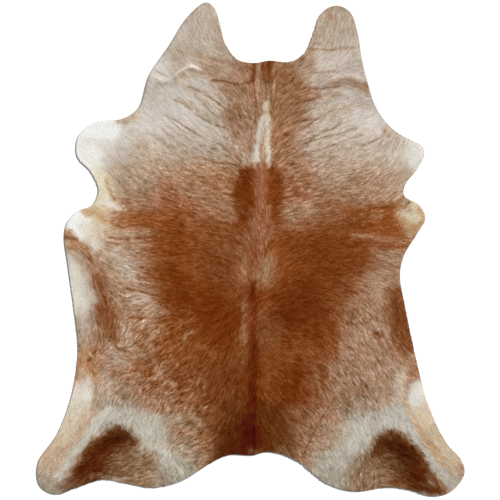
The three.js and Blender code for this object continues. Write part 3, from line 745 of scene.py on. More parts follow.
    ("left hind leg, oval", 7, 2.3, "milk", 0.7, [(87, 385), (87.5, 395)]),
    ("left hind leg, inner tan", 3.8, 2, "fawn", 0.65,
     [(98, 393), (96, 405), (92, 415), (88, 425), (82, 437), (74, 450), (64, 463), (52, 478),
      (45, 487)]),
    ("left hind leg, outer", 5, 2, "oat", 0.7, [(78, 408), (66, 430), (54, 450)]),
    ("left hind leg, straw", 3, 2, "straw", 0.55, [(72, 420), (62, 438), (52, 452)]),
    ("left hind leg, tan shade", 5, 2, "fawn", 0.65, [(86, 416), (81, 428), (74, 442)]),
    ("left hind foot, tan", 5, 2, "fawn", 0.65, [(60, 452), (48, 472)]),
    ("left hind foot, grey", 5, 2, "slate", 0.7, [(50, 480), (44, 490)]),
    ("left hock, pale strip", 4.6, 3, "silver", 0.9,
     [(108, 410), (98, 422), (88, 436), (78, 450), (68, 463), (59, 475)]),
    ("left hock, silver", 8, 2, "silver", 0.6, [(112, 414), (135, 418), (152, 428)]),
    ("left hock, patch top", 5, 2, "bark", 0.85,
     [(87, 462), (96, 450), (106, 437), (118, 430), (127, 433), (133, 443)]),
    ("left hock, patch", 9, 2.2, "seal", 0.95, [(84, 470), (95, 458), (106, 448), (119, 441)]),
    ("left hock, patch dark", 5.5, 2, "knee", 0.6, [(102, 446), (114, 437), (126, 436)]),
    ("left hock, patch core", 3.4, 2, "knee", 0.5, [(116, 439), (126, 437)]),
    ("left hock, patch outer", 7.5, 2, "seal", 0.85, [(73, 483), (84, 474), (97, 468)]),
    ("left hock, red", 6, 2, "seal", 0.6, [(84, 478), (98, 470), (112, 466)]),
    ("left hock, patch inner", 6, 2, "bark", 0.4, [(106, 455), (117, 452)]),
    ("left hock, low drab", 7, 2, "mud", 0.45, [(112, 472), (128, 466), (145, 464)]),
    ("left hock, low drab 2", 6, 2, "drab", 0.5, [(120, 458), (140, 460)]),
    ("left hock, foot", 5, 2, "mud", 0.7, [(64, 488), (76, 484), (84, 481)]),
    ("left hock, foot inner", 4, 2, "drab", 0.6, [(95, 476), (125, 478)]),
    ("left hock, grey rim", 4, 2, "silver", 0.5, [(112, 480), (122, 481)]),
    ("left shank, inner dun", 6, 2, "dun", 0.5, [(140, 478), (165, 478)]),
    ("left shank, hairs", 3, 2, "drab", 0.6, [(152, 452), (160, 462)]),
    ("left shank, pale", 7, 2, "frost", 0.6, [(146, 424), (154, 440), (164, 456)]),
    ("left shank, low pale", 5, 2, "oyster", 0.4, [(164, 452), (180, 470)]),
    ("left buttock, line 1", 1.8, 2, "cocoa", 0.65, [(172, 427), (182, 431), (194, 432)]),
    ("left buttock, brown", 7, 2, "mouse", 0.25, [(192, 438), (206, 446)]),
    ("left buttock, grey", 6, 2, "ash", 0.12, [(192, 446), (202, 456)]),
    ("left buttock, light", 4, 2, "stone", 0.25, [(180, 414), (188, 420)]),
    ("left buttock, pale high", 5, 2, "stone", 0.5, [(168, 414), (176, 420)]),
    ("left buttock, pale low", 6, 2, "stone", 0.5, [(174, 444), (184, 450), (194, 459)]),
    ("left buttock, brown middle", 4, 2, "hazel", 0.5, [(180, 429), (192, 433)]),
    ("left buttock, brown inner", 6, 2, "walnut", 0.6, [(203, 434), (208, 446)]),
    # left thigh
    ("left thigh, dark 1", 7, 2, "walnut", 0.85, [(136, 370), (150, 374)]),
    ("left thigh, dark 2", 7, 2, "chestnut", 0.5, [(168, 358), (186, 358)]),
    ("left thigh, dark 3", 6, 2, "mahogany", 0.3, [(178, 380), (188, 386)]),
    ("left thigh, light 1", 3, 2, "fawn", 0.6, [(154.5, 362), (158, 370), (161, 377)]),
    ("left thigh, light 2", 1.6, 2, "greige", 0.5, [(154, 378), (158, 376)]),
    ("left thigh, light 3", 3, 2, "fawn", 0.5, [(167, 381), (173, 386)]),
    ("left thigh, light 4", 3, 2, "fawn", 0.2, [(161, 393), (171, 397)]),
    ("left thigh, light 5", 3.6, 2, "fawn", 0.2, [(191, 391), (187, 404)]),
    ("left thigh, light 6", 4, 2, "fawn", 0.5, [(190, 414), (198, 421)]),
    ("left thigh, light 7", 4, 2, "mouse", 0.15, [(170, 366), (178, 374)]),
    ("left thigh, dark 4", 5, 2, "walnut", 0.4, [(186, 392), (194, 398)]),
    ("left thigh, dark 5", 4, 2, "mocha", 0.5, [(157, 386), (163, 392)]),
    ("left thigh, lilac", 6, 2, "greige", 0.5, [(112, 350), (118, 362)]),
    ("left thigh, oat patch", 4.5, 2, "sand", 0.6, [(126, 343), (132, 349)]),
    ("left thigh, brown spot", 2, 2, "walnut", 0.6, [(129, 351), (131, 352)]),
    ("left thigh, mauve", 4, 2, "taupe", 0.5, [(138, 378), (152, 386)]),
    ("left thigh, mouse band", 4, 2, "mouse", 0.45, [(150, 400), (168, 406)]),
    ("left thigh, curl 1", 1.3, 2, "greige", 0.15, [(159, 391.5), (165, 393.5), (172, 398)]),
    ("left thigh, curl 2", 1.1, 2, "greige", 0.3, [(186, 402), (189, 398), (192, 393)]),
    ("left thigh, curl 3", 1.1, 2, "fawn", 0.3, [(167, 376), (172, 374)]),
    ("left thigh, curl 4", 1.2, 2, "fawn", 0.3, [(170, 381), (174, 384), (174, 388)]),
    ("left thigh, cocoa", 6, 2, "cocoa", 0.6, [(112, 372), (128, 376)]),
    ("left loin, light", 4, 2, "cocoa", 0.35, [(200, 346), (212, 354)]),
    # spine, shoulders, back and rump
    ("spine, pink", 6.2, 3, "brick", 0.78, [(261, 170), (261, 200), (259, 235), (257, 256)]),
    ("spine, pink light", 2.4, 2, "rose", 0.12, [(263, 178), (262.5, 205), (262, 235), (257, 262)]),
    ("spine, left bar", 7.5, 2.3, "bay", 0.9, [(245, 176), (244, 190), (243, 205), (241, 222)]),
    ("spine, left bar head", 3.4, 2.4, "bay", 0.8, [(241, 172), (251, 172.5)]),
    ("spine, left bar core", 4, 2, "mahogany", 0.6, [(246, 174), (245, 214)]),
    ("spine, left bar low", 6, 2, "chestnut", 0.6, [(240, 196), (236, 228)]),
    ("spine, right bar", 6.5, 2.2, "bay", 0.9, [(274.5, 176), (275, 192), (277, 216)]),
    ("spine, right bar head", 3.2, 3, "bay", 0.85, [(270, 172.5), (278, 172)]),
    ("spine, right bar core", 3, 2, "mahogany", 0.6, [(272, 172), (273.5, 188)]),
    ("spine, right bar low", 4.5, 2, "chestnut", 0.5, [(277, 196), (279, 220)]),
    ("left shoulder, pale by the bar", 5, 2, "mouse", 0.4, [(226, 205), (232, 218)]),
    ("left shoulder, fawn patch", 6, 2, "fawn", 0.3, [(200, 190), (212, 200)]),
    ("left shoulder, fawn high", 5, 2, "fawn", 0.45, [(182, 191), (190, 195)]),
    ("left shoulder, oat outer", 5, 2, "oat", 0.35, [(114, 170), (124, 176)]),
    ("left shoulder, rust low", 5, 2, "cocoa", 0.4, [(130, 202), (138, 206)]),
    ("right shoulder, pale by the bar", 4.5, 2, "fawn", 0.65, [(286, 212), (294, 220)]),
    ("right shoulder, pale high", 4.5, 2, "taupe", 0.3, [(298, 182), (312, 190)]),
    ("right shoulder, pale low", 4, 2, "mouse", 0.5, [(300, 206), (316, 212)]),
    ("back, left light", 5, 2, "fawn", 0.25, [(244, 256), (245, 278)]),
    ("back, left light low", 5, 2, "walnut", 0.5, [(238, 284), (230, 296)]),
    ("back, right light", 4.6, 2, "mouse", 0.35, [(268, 262), (264, 280)]),
    ("back, right olive", 6, 2, "chestnut", 0.5, [(264, 288), (267, 304)]),
    ("back, left low light", 4.5, 2, "cocoa", 0.65, [(245, 305), (244.5, 322), (244, 338)]),
    ("back, left low bright", 1.5, 2, "rose", 0.6, [(244, 328), (244, 334)]),
    ("spine, brick low", 3.2, 2, "rust", 0.7, [(255, 250), (254.5, 278)]),
    ("spine, slot", 2.6, 2, "oxblood", 0.9, [(253.5, 282), (253, 306)]),
    ("spine, slot top", 1.6, 2, "umber", 0.6, [(252.5, 258), (252.5, 284)]),
    ("spine, low", 3.6, 2, "mahogany", 1.0, [(253.5, 304), (253.5, 350)]),
    ("spine, lower", 5, 2, "oxblood", 0.9, [(253.5, 346), (252.5, 402)]),
    ("spine, foot", 4.6, 2, "oxblood", 0.7, [(251.5, 400), (249.5, 455)]),
    ("spine, foot core", 2, 2, "ebony", 0.7, [(254, 426), (254, 455)]),
    ("left flank, dark", 7, 2, "mahogany", 0.6, [(172, 270), (186, 300)]),
    ("left loin, paler by the spine", 6, 2, "cocoa", 0.35, [(240, 286), (243, 297)]),
    ("left back, dark", 9, 2, "mahogany", 0.65, [(215, 305), (228, 345)]),
    ("left back, dark high", 7, 2, "bay", 0.5, [(206, 248), (222, 262)]),
    ("left loin, lighter", 6, 2, "umber", 0.3, [(222, 288), (232, 298)]),
    ("left shoulder foot, dark", 6, 2, "chestnut", 0.5, [(165, 232), (205, 240)]),
    ("right back, dark", 12, 2, "mahogany", 0.5, [(300, 290), (318, 325)]),
    ("right back, dark high", 10, 2, "bay", 0.45, [(300, 250), (340, 268)]),
    ("right croup, dark", 6, 2, "mahogany", 0.6, [(300, 366), (292, 395)]),
    ("right croup, umber", 7, 2, "umber", 0.35, [(316, 356), (322, 366)]),
    ("right croup, brown", 6, 2, "russet", 0.4, [(274, 378), (276, 394)]),
    ("right nape, brown", 7, 2, "hazel", 0.45, [(278, 72), (290, 92)]),
    ("right croup, dark spot", 3, 2, "mahogany", 0.6, [(322, 371), (325, 378)]),
    ("right loin, dark", 5, 2, "chestnut", 0.6, [(322, 330), (330, 352)]),
    ("rump, dark", 8, 2, "maroon", 0.6, [(246, 420), (247, 450)]),
    ("rump, left olive", 6, 2, "umber", 0.4, [(212, 412), (216, 436)]),
    # right elbow, and last touches on the neck
    ("right flank, pale", 6, 2, "fawn", 0.3, [(372, 275), (380, 300)]),
    ("right elbow, brown", 4, 2, "cocoa", 0.5, [(399, 206), (407, 208)]),
    ("right elbow, fawn low", 4, 2, "sand", 0.5, [(408, 233), (412, 238)]),
    ("right elbow, fawn inner", 5, 2, "fawn", 0.3, [(369, 214), (379, 215)]),
    ("right withers, fawn", 5, 2, "fawn", 0.45, [(294, 170), (302, 174)]),
    ("right flap, inner brown", 5, 2, "mouse", 0.35, [(322, 36), (326, 42)]),
    ("right collar, pale", 5, 2, "pearl", 0.35, [(340, 133), (349, 135)]),
    ("left throat, brown", 4, 2, "mouse", 0.35, [(221, 97), (228, 101)]),
    ("nape, walnut", 4, 2, "walnut", 0.35, [(272, 66), (276, 73)]),
    ("blaze, right shade", 2.5, 2, "mouse", 0.4, [(270, 119), (270, 128)]),
    # right flank, thigh and hind leg
    ("right flank, edge dark", 8, 2.2, "umber", 0.8, [(395, 294), (397, 308), (401, 326)]),
    ("right flank, edge core", 3.2, 2, "bark", 0.45, [(395, 298), (397, 312), (398, 326)]),
    ("right flank, edge foot", 5.5, 2, "umber", 0.6, [(404, 328), (408, 348)]),
    ("right stifle, streaks", 3, 2, "fawn", 0.6, [(410, 356), (411, 362)]),
    ("right flank, spot 1", 2.8, 2.5, "walnut", 0.7, [(366, 317), (371, 318)]),
    ("right flank, spot 2", 3.4, 2.5, "umber", 0.9, [(375, 333), (380, 337)]),
    ("right flank, spot 3", 3, 2.5, "hazel", 0.6, [(379, 315), (386, 316)]),
    ("right belly, light", 6, 2, "fawn", 0.5, [(354, 302), (368, 312)]),
    ("right flank, light border", 5, 2, "taupe", 0.45, [(344, 308), (349, 316)]),
    ("right flank, dark inner", 6, 2, "mahogany", 0.45, [(334, 286), (344, 291)]),
    ("right belly, dark border", 6, 2, "chestnut", 0.7, [(327, 344), (333, 355)]),
    ("right belly, cocoa", 5, 2, "cocoa", 0.35, [(350, 346), (358, 352)]),
    # painted shade: the dark line in the right thigh's crease
    ("right thigh, crease", 0.7, 2, "bark", 0.6,
     [(335, 397), (332, 401), (323, 416), (310, 438), (303, 456)]),
    ("right thigh, crease foot", 1.4, 2, "bark", 0.6, [(304, 452), (302, 457)]),
    ("right thigh, rust spot", 5, 2, "rust", 0.25, [(358, 392), (368, 395)]),
    ("right thigh, lilac", 6, 2, "fawn", 0.5, [(376, 388), (384, 398)]),
    ("right hock, cream hairs", 4.4, 2, "wheat", 0.7, [(401, 374), (402, 394)]),
    ("right stifle, curls", 3, 2, "wheat", 0.4, [(404, 368), (406, 378)]),
    ("right hock, stone", 5, 2, "greige", 0.4, [(397, 366), (398, 400)]),
    ("right hind leg, oval", 7, 4, "bone", 0.9, [(418, 387), (416, 399)]),
    ("right hind leg, inner tan", 3, 2, "tan", 0.75,
     [(405, 401), (409, 412), (414, 421), (420, 433), (427, 444), (435, 452), (443, 458), (452, 466)]),
    ("right hind leg, tan middle", 3, 2, "honey", 0.45, [(417, 427), (427, 442), (436, 451)]),
    ("right hind leg, outer", 6, 3, "wheat", 0.42, [(420, 410), (430, 428), (442, 446), (454, 462)]),
    ("right hind leg, straw", 2.4, 2, "straw", 0.5, [(420, 416), (432, 434), (446, 452)]),
    ("right hind foot, tan tip", 3, 2, "cocoa", 0.6, [(460, 466), (462, 473)]),
    ("right hind foot, grey", 5, 2, "stone", 0.6, [(450, 478), (456, 484)]),
    ("right hock, pale strip", 4.2, 3, "silver", 0.9,
     [(401, 411), (408, 424), (416, 439), (424, 451), (433, 463), (442, 474), (451, 485)]),
    ("right hock, patch edge", 4, 2, "bark", 0.75,
     [(372, 458), (377, 447), (383, 436), (391, 432), (399, 438), (407, 449), (416, 460),
      (428, 472), (438, 484)]),
    ("right hock, patch", 9, 2.4, "seal", 0.72, [(387, 446), (394, 448), (405, 459), (418, 475)]),
    ("right hock, patch dark", 8, 2, "knee", 0.62, [(386, 442), (395, 445), (408, 457)]),
    ("right hock, patch core", 4, 2, "knee", 0.2, [(394, 446), (405, 454), (413, 464)]),
    ("right hock, patch low", 7, 2, "seal", 0.85, [(402, 476), (420, 483)]),
    ("right hock, foot", 4.5, 2, "umber", 0.7, [(430, 488), (444, 490)]),
    ("right hock, mud low", 5, 2, "mud", 0.5, [(396, 464), (400, 480)]),
    ("right hock, foot rim", 4, 2, "seal", 0.8, [(408, 484), (424, 489), (438, 491)]),
    ("right hock, foot hairs", 0.9, 2, "tan", 0.5, [(437, 476), (441, 488)]),
    ("right hock, foot hairs 2", 0.8, 2, "tan", 0.45, [(441, 479), (446, 489)]),
    ("right hock, drab", 6, 2, "drab", 0.75, [(368, 464), (386, 470)]),
    ("right hock, brown", 7, 2, "mud", 0.7, [(386, 456), (400, 466)]),
    ("right hock, dun", 6, 2, "drab", 0.6, [(355, 472), (378, 478)]),
    ("right shank, brown", 5, 2, "cocoa", 0.65, [(326, 411), (336, 419)]),
    ("right shank, greige", 6, 2, "greige", 0.4, [(358, 402), (370, 406)]),
    ("right shank, foot brown", 5, 2, "hazel", 0.6, [(300, 457), (309, 461)]),
    ("right croup foot, mouse", 5, 2, "mouse", 0.45, [(280, 450), (288, 454)]),
    ("tail root, grey", 4, 2, "ash", 0.35, [(252, 451), (260, 453)]),
    ("right hock, low umber", 5, 2, "umber", 0.5, [(387, 479), (400, 483)]),
    ("right shank, pale", 7, 2, "silver", 0.6, [(364, 420), (357, 436), (346, 450)]),
    ("right shank, low pale", 6, 2, "oyster", 0.25, [(332, 458), (344, 466)]),
]

# How the hair lies: degrees clockwise from the hide's right, at places on the grid.
# across, down, angle
lies = [
    (206, 15, 80), (195, 40, 70), (228, 55, 30), (180, 62, 50), (157, 72, 45), (190, 74, 150),
    (215, 72, 20), (238, 76, 40), (165, 95, 48), (188, 95, 45), (210, 105, 44), (170, 118, 40),
    (195, 125, 38), (225, 120, 42), (150, 125, 45), (180, 140, 38), (215, 145, 30), (235, 105, 55),
    (240, 132, 50), (243, 155, 50), (252, 85, 85), (256, 120, 88), (263, 80, 88), (263, 110, 90),
    (263, 150, 90), (262, 190, 90), (260, 230, 90), (254, 275, 90), (253, 330, 90), (252, 380, 90),
    (252, 440, 90), (338, 20, 95), (338, 45, 100), (315, 45, 130), (340, 68, 165), (350, 88, 20),
    (365, 88, 35), (300, 68, 150), (285, 85, 140), (285, 110, 135), (305, 100, 160), (325, 100, 160),
    (345, 105, 158), (372, 115, 150), (280, 135, 142), (300, 135, 145), (325, 132, 152),
    (350, 130, 155), (385, 140, 135), (285, 158, 150), (310, 155, 158), (345, 150, 158),
    (395, 155, 120), (415, 155, 60), (300, 180, 166), (335, 180, 165), (370, 180, 160),
    (398, 185, 140), (290, 205, 170), (315, 212, 174), (350, 210, 175), (395, 200, 150),
    (410, 215, 170), (340, 232, 5), (380, 238, 8), (400, 245, 8), (290, 235, 168), (288, 185, 168),
    (320, 250, 175), (360, 260, 3), (388, 270, 8), (270, 265, 120), (285, 285, 155), (320, 285, 178),
    (355, 288, 10), (385, 300, 60), (397, 310, 75), (268, 310, 150), (275, 330, 25), (300, 325, 20),
    (335, 315, 30), (360, 320, 50), (380, 335, 60), (404, 340, 70), (270, 365, 30), (300, 365, 25),
    (330, 360, 50), (360, 360, 55), (385, 365, 60), (403, 372, 20), (270, 400, 50), (285, 430, 45),
    (310, 400, 55), (310, 440, 52), (345, 395, 55), (335, 430, 58), (340, 465, 60), (370, 405, 65),
    (362, 435, 80), (385, 425, 85), (400, 410, 60), (418, 392, 65), (430, 428, 60), (450, 462, 55),
    (395, 450, 20), (415, 465, 30), (370, 470, 110), (395, 475, 15), (425, 480, 40), (92, 145, 60),
    (115, 140, 40), (104, 180, 100), (110, 203, 20), (80, 220, 60), (90, 238, 50), (70, 245, 30),
    (130, 160, 38), (120, 185, 30), (150, 175, 25), (180, 165, 25), (215, 168, 14), (140, 205, 12),
    (175, 200, 18), (212, 195, 12), (228, 212, 14), (115, 218, 150), (125, 228, 178), (150, 232, 2),
    (185, 235, 8), (232, 185, 14), (220, 238, 10), (240, 235, 50), (115, 245, 5), (120, 262, 20),
    (145, 260, 5), (180, 262, 3), (215, 262, 15), (235, 262, 42), (243, 272, 62), (95, 262, 60),
    (100, 290, 70), (77, 285, 85), (130, 285, 15), (155, 290, 15), (190, 290, 3), (225, 290, 170),
    (240, 300, 120), (140, 305, 162), (170, 315, 175), (205, 320, 160), (235, 325, 130),
    (108, 318, 80), (125, 330, 112), (150, 330, 142), (185, 338, 125), (215, 350, 130),
    (240, 352, 115), (84, 335, 85), (95, 352, 120), (110, 355, 10), (130, 352, 45), (155, 352, 140),
    (185, 362, 135), (220, 378, 132), (240, 390, 110), (88, 375, 80), (115, 372, 160),
    (125, 392, 120), (160, 375, 145), (165, 395, 142), (190, 400, 130), (215, 408, 135),
    (232, 430, 100), (87, 395, 95), (70, 420, 118), (50, 460, 118), (100, 410, 110), (125, 415, 92),
    (150, 420, 80), (155, 445, 100), (185, 425, 160), (190, 445, 150), (210, 440, 170),
    (180, 465, 60), (110, 440, 150), (95, 455, 135), (130, 455, 10), (105, 470, 165), (140, 472, 165),
    (75, 475, 150),
]

# The coat's length in millimetres and its curl in degrees, in each part of the hide.
# part, across, down, reach, length, curl
coatParts = [
    ("left flap", 200, 35, 20, 12, 4), ("right flap", 338, 40, 18, 12, 4),
    ("left neck", 180, 110, 24, 13, 5), ("right neck", 350, 115, 24, 13, 5),
    ("mane", 258, 110, 12, 17, 6), ("left foreleg", 95, 148, 12, 7, 3),
    ("right foreleg", 412, 158, 10, 7, 3), ("left armpit", 104, 190, 9, 8, 3),
    ("right armpit", 398, 192, 8, 10, 4), ("left elbow", 78, 224, 9, 8, 3),
    ("right elbow", 412, 216, 8, 8, 3), ("left shoulder", 160, 180, 24, 14, 9),
    ("right shoulder", 350, 180, 24, 14, 8), ("back", 254, 260, 34, 15, 4),
    ("left ribs", 185, 270, 26, 15, 5), ("right ribs", 320, 270, 30, 15, 5),
    ("left flank edge", 78, 290, 9, 9, 3), ("left roan", 125, 268, 14, 14, 12),
    ("left belly", 128, 325, 14, 13, 16), ("left loin", 185, 335, 16, 16, 11),
    ("left thigh", 150, 378, 22, 13, 18), ("left croup", 210, 380, 16, 16, 11),
    ("left buttock", 192, 418, 16, 15, 16), ("right belly", 362, 322, 20, 14, 9),
    ("right thigh", 356, 370, 24, 15, 9), ("right croup", 292, 380, 24, 16, 7),
    ("rump", 250, 420, 18, 17, 5), ("left shank", 150, 440, 15, 20, 9),
    ("right shank", 342, 445, 18, 22, 7), ("left hock", 105, 455, 18, 19, 8),
    ("right hock", 400, 460, 18, 19, 8), ("left hind leg", 64, 430, 12, 11, 3),
    ("left oval", 87, 392, 9, 7, 2), ("right hind leg", 436, 440, 10, 11, 3),
    ("right oval", 415, 394, 8, 7, 2), ("right flank edge", 398, 315, 8, 12, 6),
]

# Small light curls strewn over the wavy parts. Each is an arc of lighter hair, which also stands for the
# curl's lit side, with painted shade below it: a darker arc for the curl's shadow.
# part, across, down, reach, count, light shade, shade of the painted shadow, strength
curlParts = [
    ("left thigh", 155, 378, 24, 60, "dove", "umber", 0.36),
    ("left thigh, inner", 188, 392, 18, 34, "fawn", "chestnut", 0.36),
    ("left thigh, outer", 122, 384, 20, 40, "dove", "cocoa", 0.3),
    ("left buttock", 190, 428, 20, 44, "mouse", "umber", 0.3),
    ("left belly", 138, 325, 22, 50, "greige", "umber", 0.36),
    ("left ribs", 128, 268, 20, 30, "dove", "cocoa", 0.26),
    ("left hock", 125, 470, 16, 30, "dun", "mud", 0.3),
    ("right belly", 365, 340, 26, 46, "dove", "cocoa", 0.26),
    ("right thigh", 350, 390, 24, 40, "dove", "cocoa", 0.24),
    ("right hock", 378, 472, 16, 26, "fawn", "mud", 0.3),
]

# The coat's fields: lie, curl, mixed hairs and borders. Sizes in squares.
comb = {
    "lieReach": 16,  # how far each place's lie is felt
    "faintLie": 1e-12,  # and how weakly it is still felt far away
    "faint": 1e-9,  # the same for areas and parts of the coat
    "waveSize": 3.6,
    "broadWaveSize": 8,
    "broadWaveShare": 0.5,
    "taps": 7,  # steps by which noise is drawn out along the lie
    "tapGain": 0.75,
    "fineWidth": 0.9,  # across one small tuft
    "fineLength": 5.4,
    "curlShortens": 0.018,  # share of that length lost for each degree of curl
    "mediumWidth": 2.6,
    "mediumLength": 7.5,
    "broadSize": 16,
    "curlMutes": 90,  # degrees of curl at which mixed hairs would no longer show
    "fineMix": 0.092,  # how far small tufts differ where the coat is fully roan
    "mediumMix": 0.003,
    "fineEven": 0.05,  # and how far they differ everywhere
    "mediumEven": 0.004,
    "broadEven": 0.02,
    "ragged": 1.4,  # how far a border strays
    "raggedSize": 7,
    "fineRaggedShare": 0.7,
    "fineRaggedSize": 2.5,
    "markReach": 2.2,  # half widths out to which a mark is worked out
    "markFall": 0.8,  # how fast it fades outwards
    "thinMark": 2.2,  # a mark with a half width up to this strays less
    "thinStray": 0.3,
    "leastContrast": 0.1,  # of light and dark hairs
    "moreContrast": 1.25,
    "contrastLevel": 0.5,  # brightness at which they show most
    "contrastReach": 0.3,
    "gloss": 0.0055,  # light that the hair's gloss adds
    "darkest": 0.002,
    "lightest": 0.95,
}
seeds = {
    "strayAcross": 11,
    "curls": 19,
    "strayDown": 21,
    "fine": 31,
    "medium": 32,
    "broad": 33,
    "wave": 61,
    "broadWave": 62,
}
hairTint = np.array([1.0, 1.02, 1.06])  # light and dark hairs differ most in blue

# One small curl. Sizes in squares.
curlShape = {
    "turn": 50,  # degrees that it may turn from the hair around it
    "shortest": 1.2,  # half its length
    "longest": 2.6,
    "bow": 0.6,  # share of half its length by which its middle stands out
    "apart": 1.3,  # from the light arc to the painted shade below it
    "halfWidth": 0.8,
    "firmness": 2,
    "weakest": 0.5,  # shares of the strength that its part gives
    "strongest": 1.2,
}


# How strongly a place is felt at a squared distance from it.
def bell(away, reach):
    return np.exp(-0.5 * away / reach ** 2)


def lumps(across, down, size, seed):
    return grain(across / size, down / size, seed)


# The hair's lie at a place, as an angle whose sense is left open.
def lieAt(across, down):
    sumCos = np.zeros(np.shape(across))
    sumSin = np.zeros(np.shape(across))
    for placeAcross, placeDown, angle in lies:
        away = (across - placeAcross) ** 2 + (down - placeDown) ** 2
        weight = bell(away, comb["lieReach"]) + comb["faintLie"]
        sumCos += weight * math.cos(math.radians(2 * angle))
        sumSin += weight * math.sin(math.radians(2 * angle))
    return 0.5 * np.arctan2(sumSin, sumCos)


# How long the coat is in each part, in millimetres, and how far it curls, in degrees.
def coatAt(across, down):
    total = np.zeros((2, *np.shape(across)))
    weights = np.zeros(np.shape(across))
    for part, partAcross, partDown, reach, length, curl in coatParts:
        away = (across - partAcross) ** 2 + (down - partDown) ** 2
        weight = bell(away, reach) + comb["faint"] / (1 + away)
        total += weight * np.array([length, curl]).reshape(2, *[1] * np.ndim(across))
        weights += weight
    return total / weights


# The lie with the coat's waves in it.
def curled(across, down, lie, curl):
    wave = lumps(across, down, comb["waveSize"], seeds["wave"])
    broadWave = lumps(across, down, comb["broadWaveSize"], seeds["broadWave"])
    return lie + np.radians(curl) * (wave + comb["broadWaveShare"] * broadWave)


# Noise drawn out along the hair's lie.
def combed(across, down, lie, width, length, seed):
    taps = comb["taps"]
    total = np.zeros(np.shape(across))
    for tap in range(taps):
        step = (tap / (taps - 1) - 0.5) * length
        total += lumps(across + step * np.cos(lie), down + step * np.sin(lie), width, seed)
    return total / taps * math.sqrt(taps) * comb["tapGain"]


# Light and dark hairs show most on middling shades, least on white and on the darkest.
def hairContrast(colour):
    off = (colour.mean(-1) - comb["contrastLevel"]) / comb["contrastReach"]
    return comb["leastContrast"] + comb["moreContrast"] * np.exp(-off ** 2)


# What is painted on the hair, so that it looks like the given colour under its own gloss.
def hairAlbedo(colour):
    bare = toLinear(np.clip(colour, 0, 1)) - comb["gloss"]
    return np.clip(bare, comb["darkest"], comb["lightest"])


# Rows like those of the marks, for the small light curls of the wavy parts: a short arc of lighter
# hair, which also stands for the curl's lit side, and below it a darker arc of painted shade.
def makeCurls():
    strewn = np.random.default_rng(seeds["curls"])
    turn = curlShape["turn"]
    bow = curlShape["bow"]
    below = np.array([0, curlShape["apart"]])
    rows = []
    for part, partAcross, partDown, reach, count, light, dark, strength in curlParts:
        for index in range(count):
            middle = np.array([partAcross, partDown]) + reach * strewn.uniform(-1, 1, 2)
            angle = lieAt(*middle) + math.radians(strewn.uniform(-turn, turn))
            step = np.array([math.cos(angle), math.sin(angle)])
            step = step * strewn.uniform(curlShape["shortest"], curlShape["longest"])
            aside = np.array([-step[1], step[0]]) * strewn.uniform(-bow, bow)
            # The light arc first, then the painted shade below it.
            for shade, shift in ((light, -0.5 * below), (dark, 0.5 * below)):
                line = [middle - step + shift, middle + aside + shift, middle + step + shift]
                share = strength * strewn.uniform(curlShape["weakest"], curlShape["strongest"])
                rows.append((part, curlShape["halfWidth"], curlShape["firmness"], shade, share, line))
    return rows


# One of a place's two coordinates, moved a little, so that borders are as ragged as hair makes them.
def strayed(place, across, down, seed):
    broad = lumps(across, down, comb["raggedSize"], seed)
    fine = lumps(across, down, comb["fineRaggedSize"], seed + 1)
    return place + comb["ragged"] * broad + comb["fineRaggedShare"] * comb["ragged"] * fine


# The coat's colour at places, from its grounds, marks and curls with light and dark hairs mixed in. The
# crease, wrinkle and ridge marks and the curls paint shade and highlights into it.
def coatColourWithPaintedLight(across, down, lie, curl):
    strayAcross = strayed(across, across, down, seeds["strayAcross"])
    strayDown = strayed(down, across, down, seeds["strayDown"])
    total = np.zeros((*np.shape(across), 3))
    weights = np.zeros(np.shape(across))
    roan = np.zeros(np.shape(across))
    for area, areaAcross, areaDown, reach, shade, amount in grounds:
        away = (strayAcross - areaAcross) ** 2 + (strayDown - areaDown) ** 2
        weight = bell(away, reach) + comb["faint"] / (1 + away)
        total += weight[..., None] * hexToRgb(shades[shade])
        roan += weight * amount
        weights += weight
    colour = total / weights[..., None]
    roan /= weights
    for mark, half, firmness, shade, strength, line in marks + curls:
        reach = comb["markReach"] * half
        places = np.array(line)
        low = places.min(0) - reach
        high = places.max(0) + reach
        near = ((strayAcross > low[0]) & (strayAcross < high[0])
                & (strayDown > low[1]) & (strayDown < high[1]))
        share = 1 if half > comb["thinMark"] else comb["thinStray"]
        placeAcross = across[near] + share * (strayAcross[near] - across[near])
        placeDown = down[near] + share * (strayDown[near] - down[near])
        distance = lineDistance(placeAcross, placeDown, line)
        cover = strength * np.exp(-comb["markFall"] * (distance / half) ** firmness)
        colour[near] += cover[:, None] * (hexToRgb(shades[shade]) - colour[near])
    fineLength = comb["fineLength"] * (1 - comb["curlShortens"] * curl)
    fine = combed(across, down, lie, comb["fineWidth"], fineLength, seeds["fine"])
    medium = combed(across, down, lie, comb["mediumWidth"], comb["mediumLength"], seeds["medium"])
    broad = lumps(across, down, comb["broadSize"], seeds["broad"])
    mixed = comb["fineMix"] * fine + comb["mediumMix"] * medium
    mixed = roan * mixed * (1 - curl / comb["curlMutes"])
    change = mixed + comb["fineEven"] * fine + comb["mediumEven"] * medium + comb["broadEven"] * broad
    colour = colour + (change * hairContrast(colour))[..., None] * hairTint
    return np.clip(colour, 0, 1)


curls = makeCurls()


def addNode(tree, kind, settings=None, inputs=None):
    node = tree.nodes.new(kind)
    for name, value in (settings or {}).items():
        setattr(node, name, value)
    for name, value in (inputs or {}).items():
        socket = node.inputs[name]
        if isinstance(value, bpy.types.NodeSocket):
            tree.links.new(value, socket)
        else:
            socket.default_value = value
    return node


def newMaterial(name):
    material = bpy.data.materials.new(name)
    material.use_nodes = True
    tree = material.node_tree
    tree.nodes.clear()
    output = addNode(tree, "ShaderNodeOutputMaterial")
    return material, tree, output


# Places of a colour mix's colours, since their names are shared with its other kinds of value.
mixPlaces = {"first": 6, "second": 7, "result": 2}


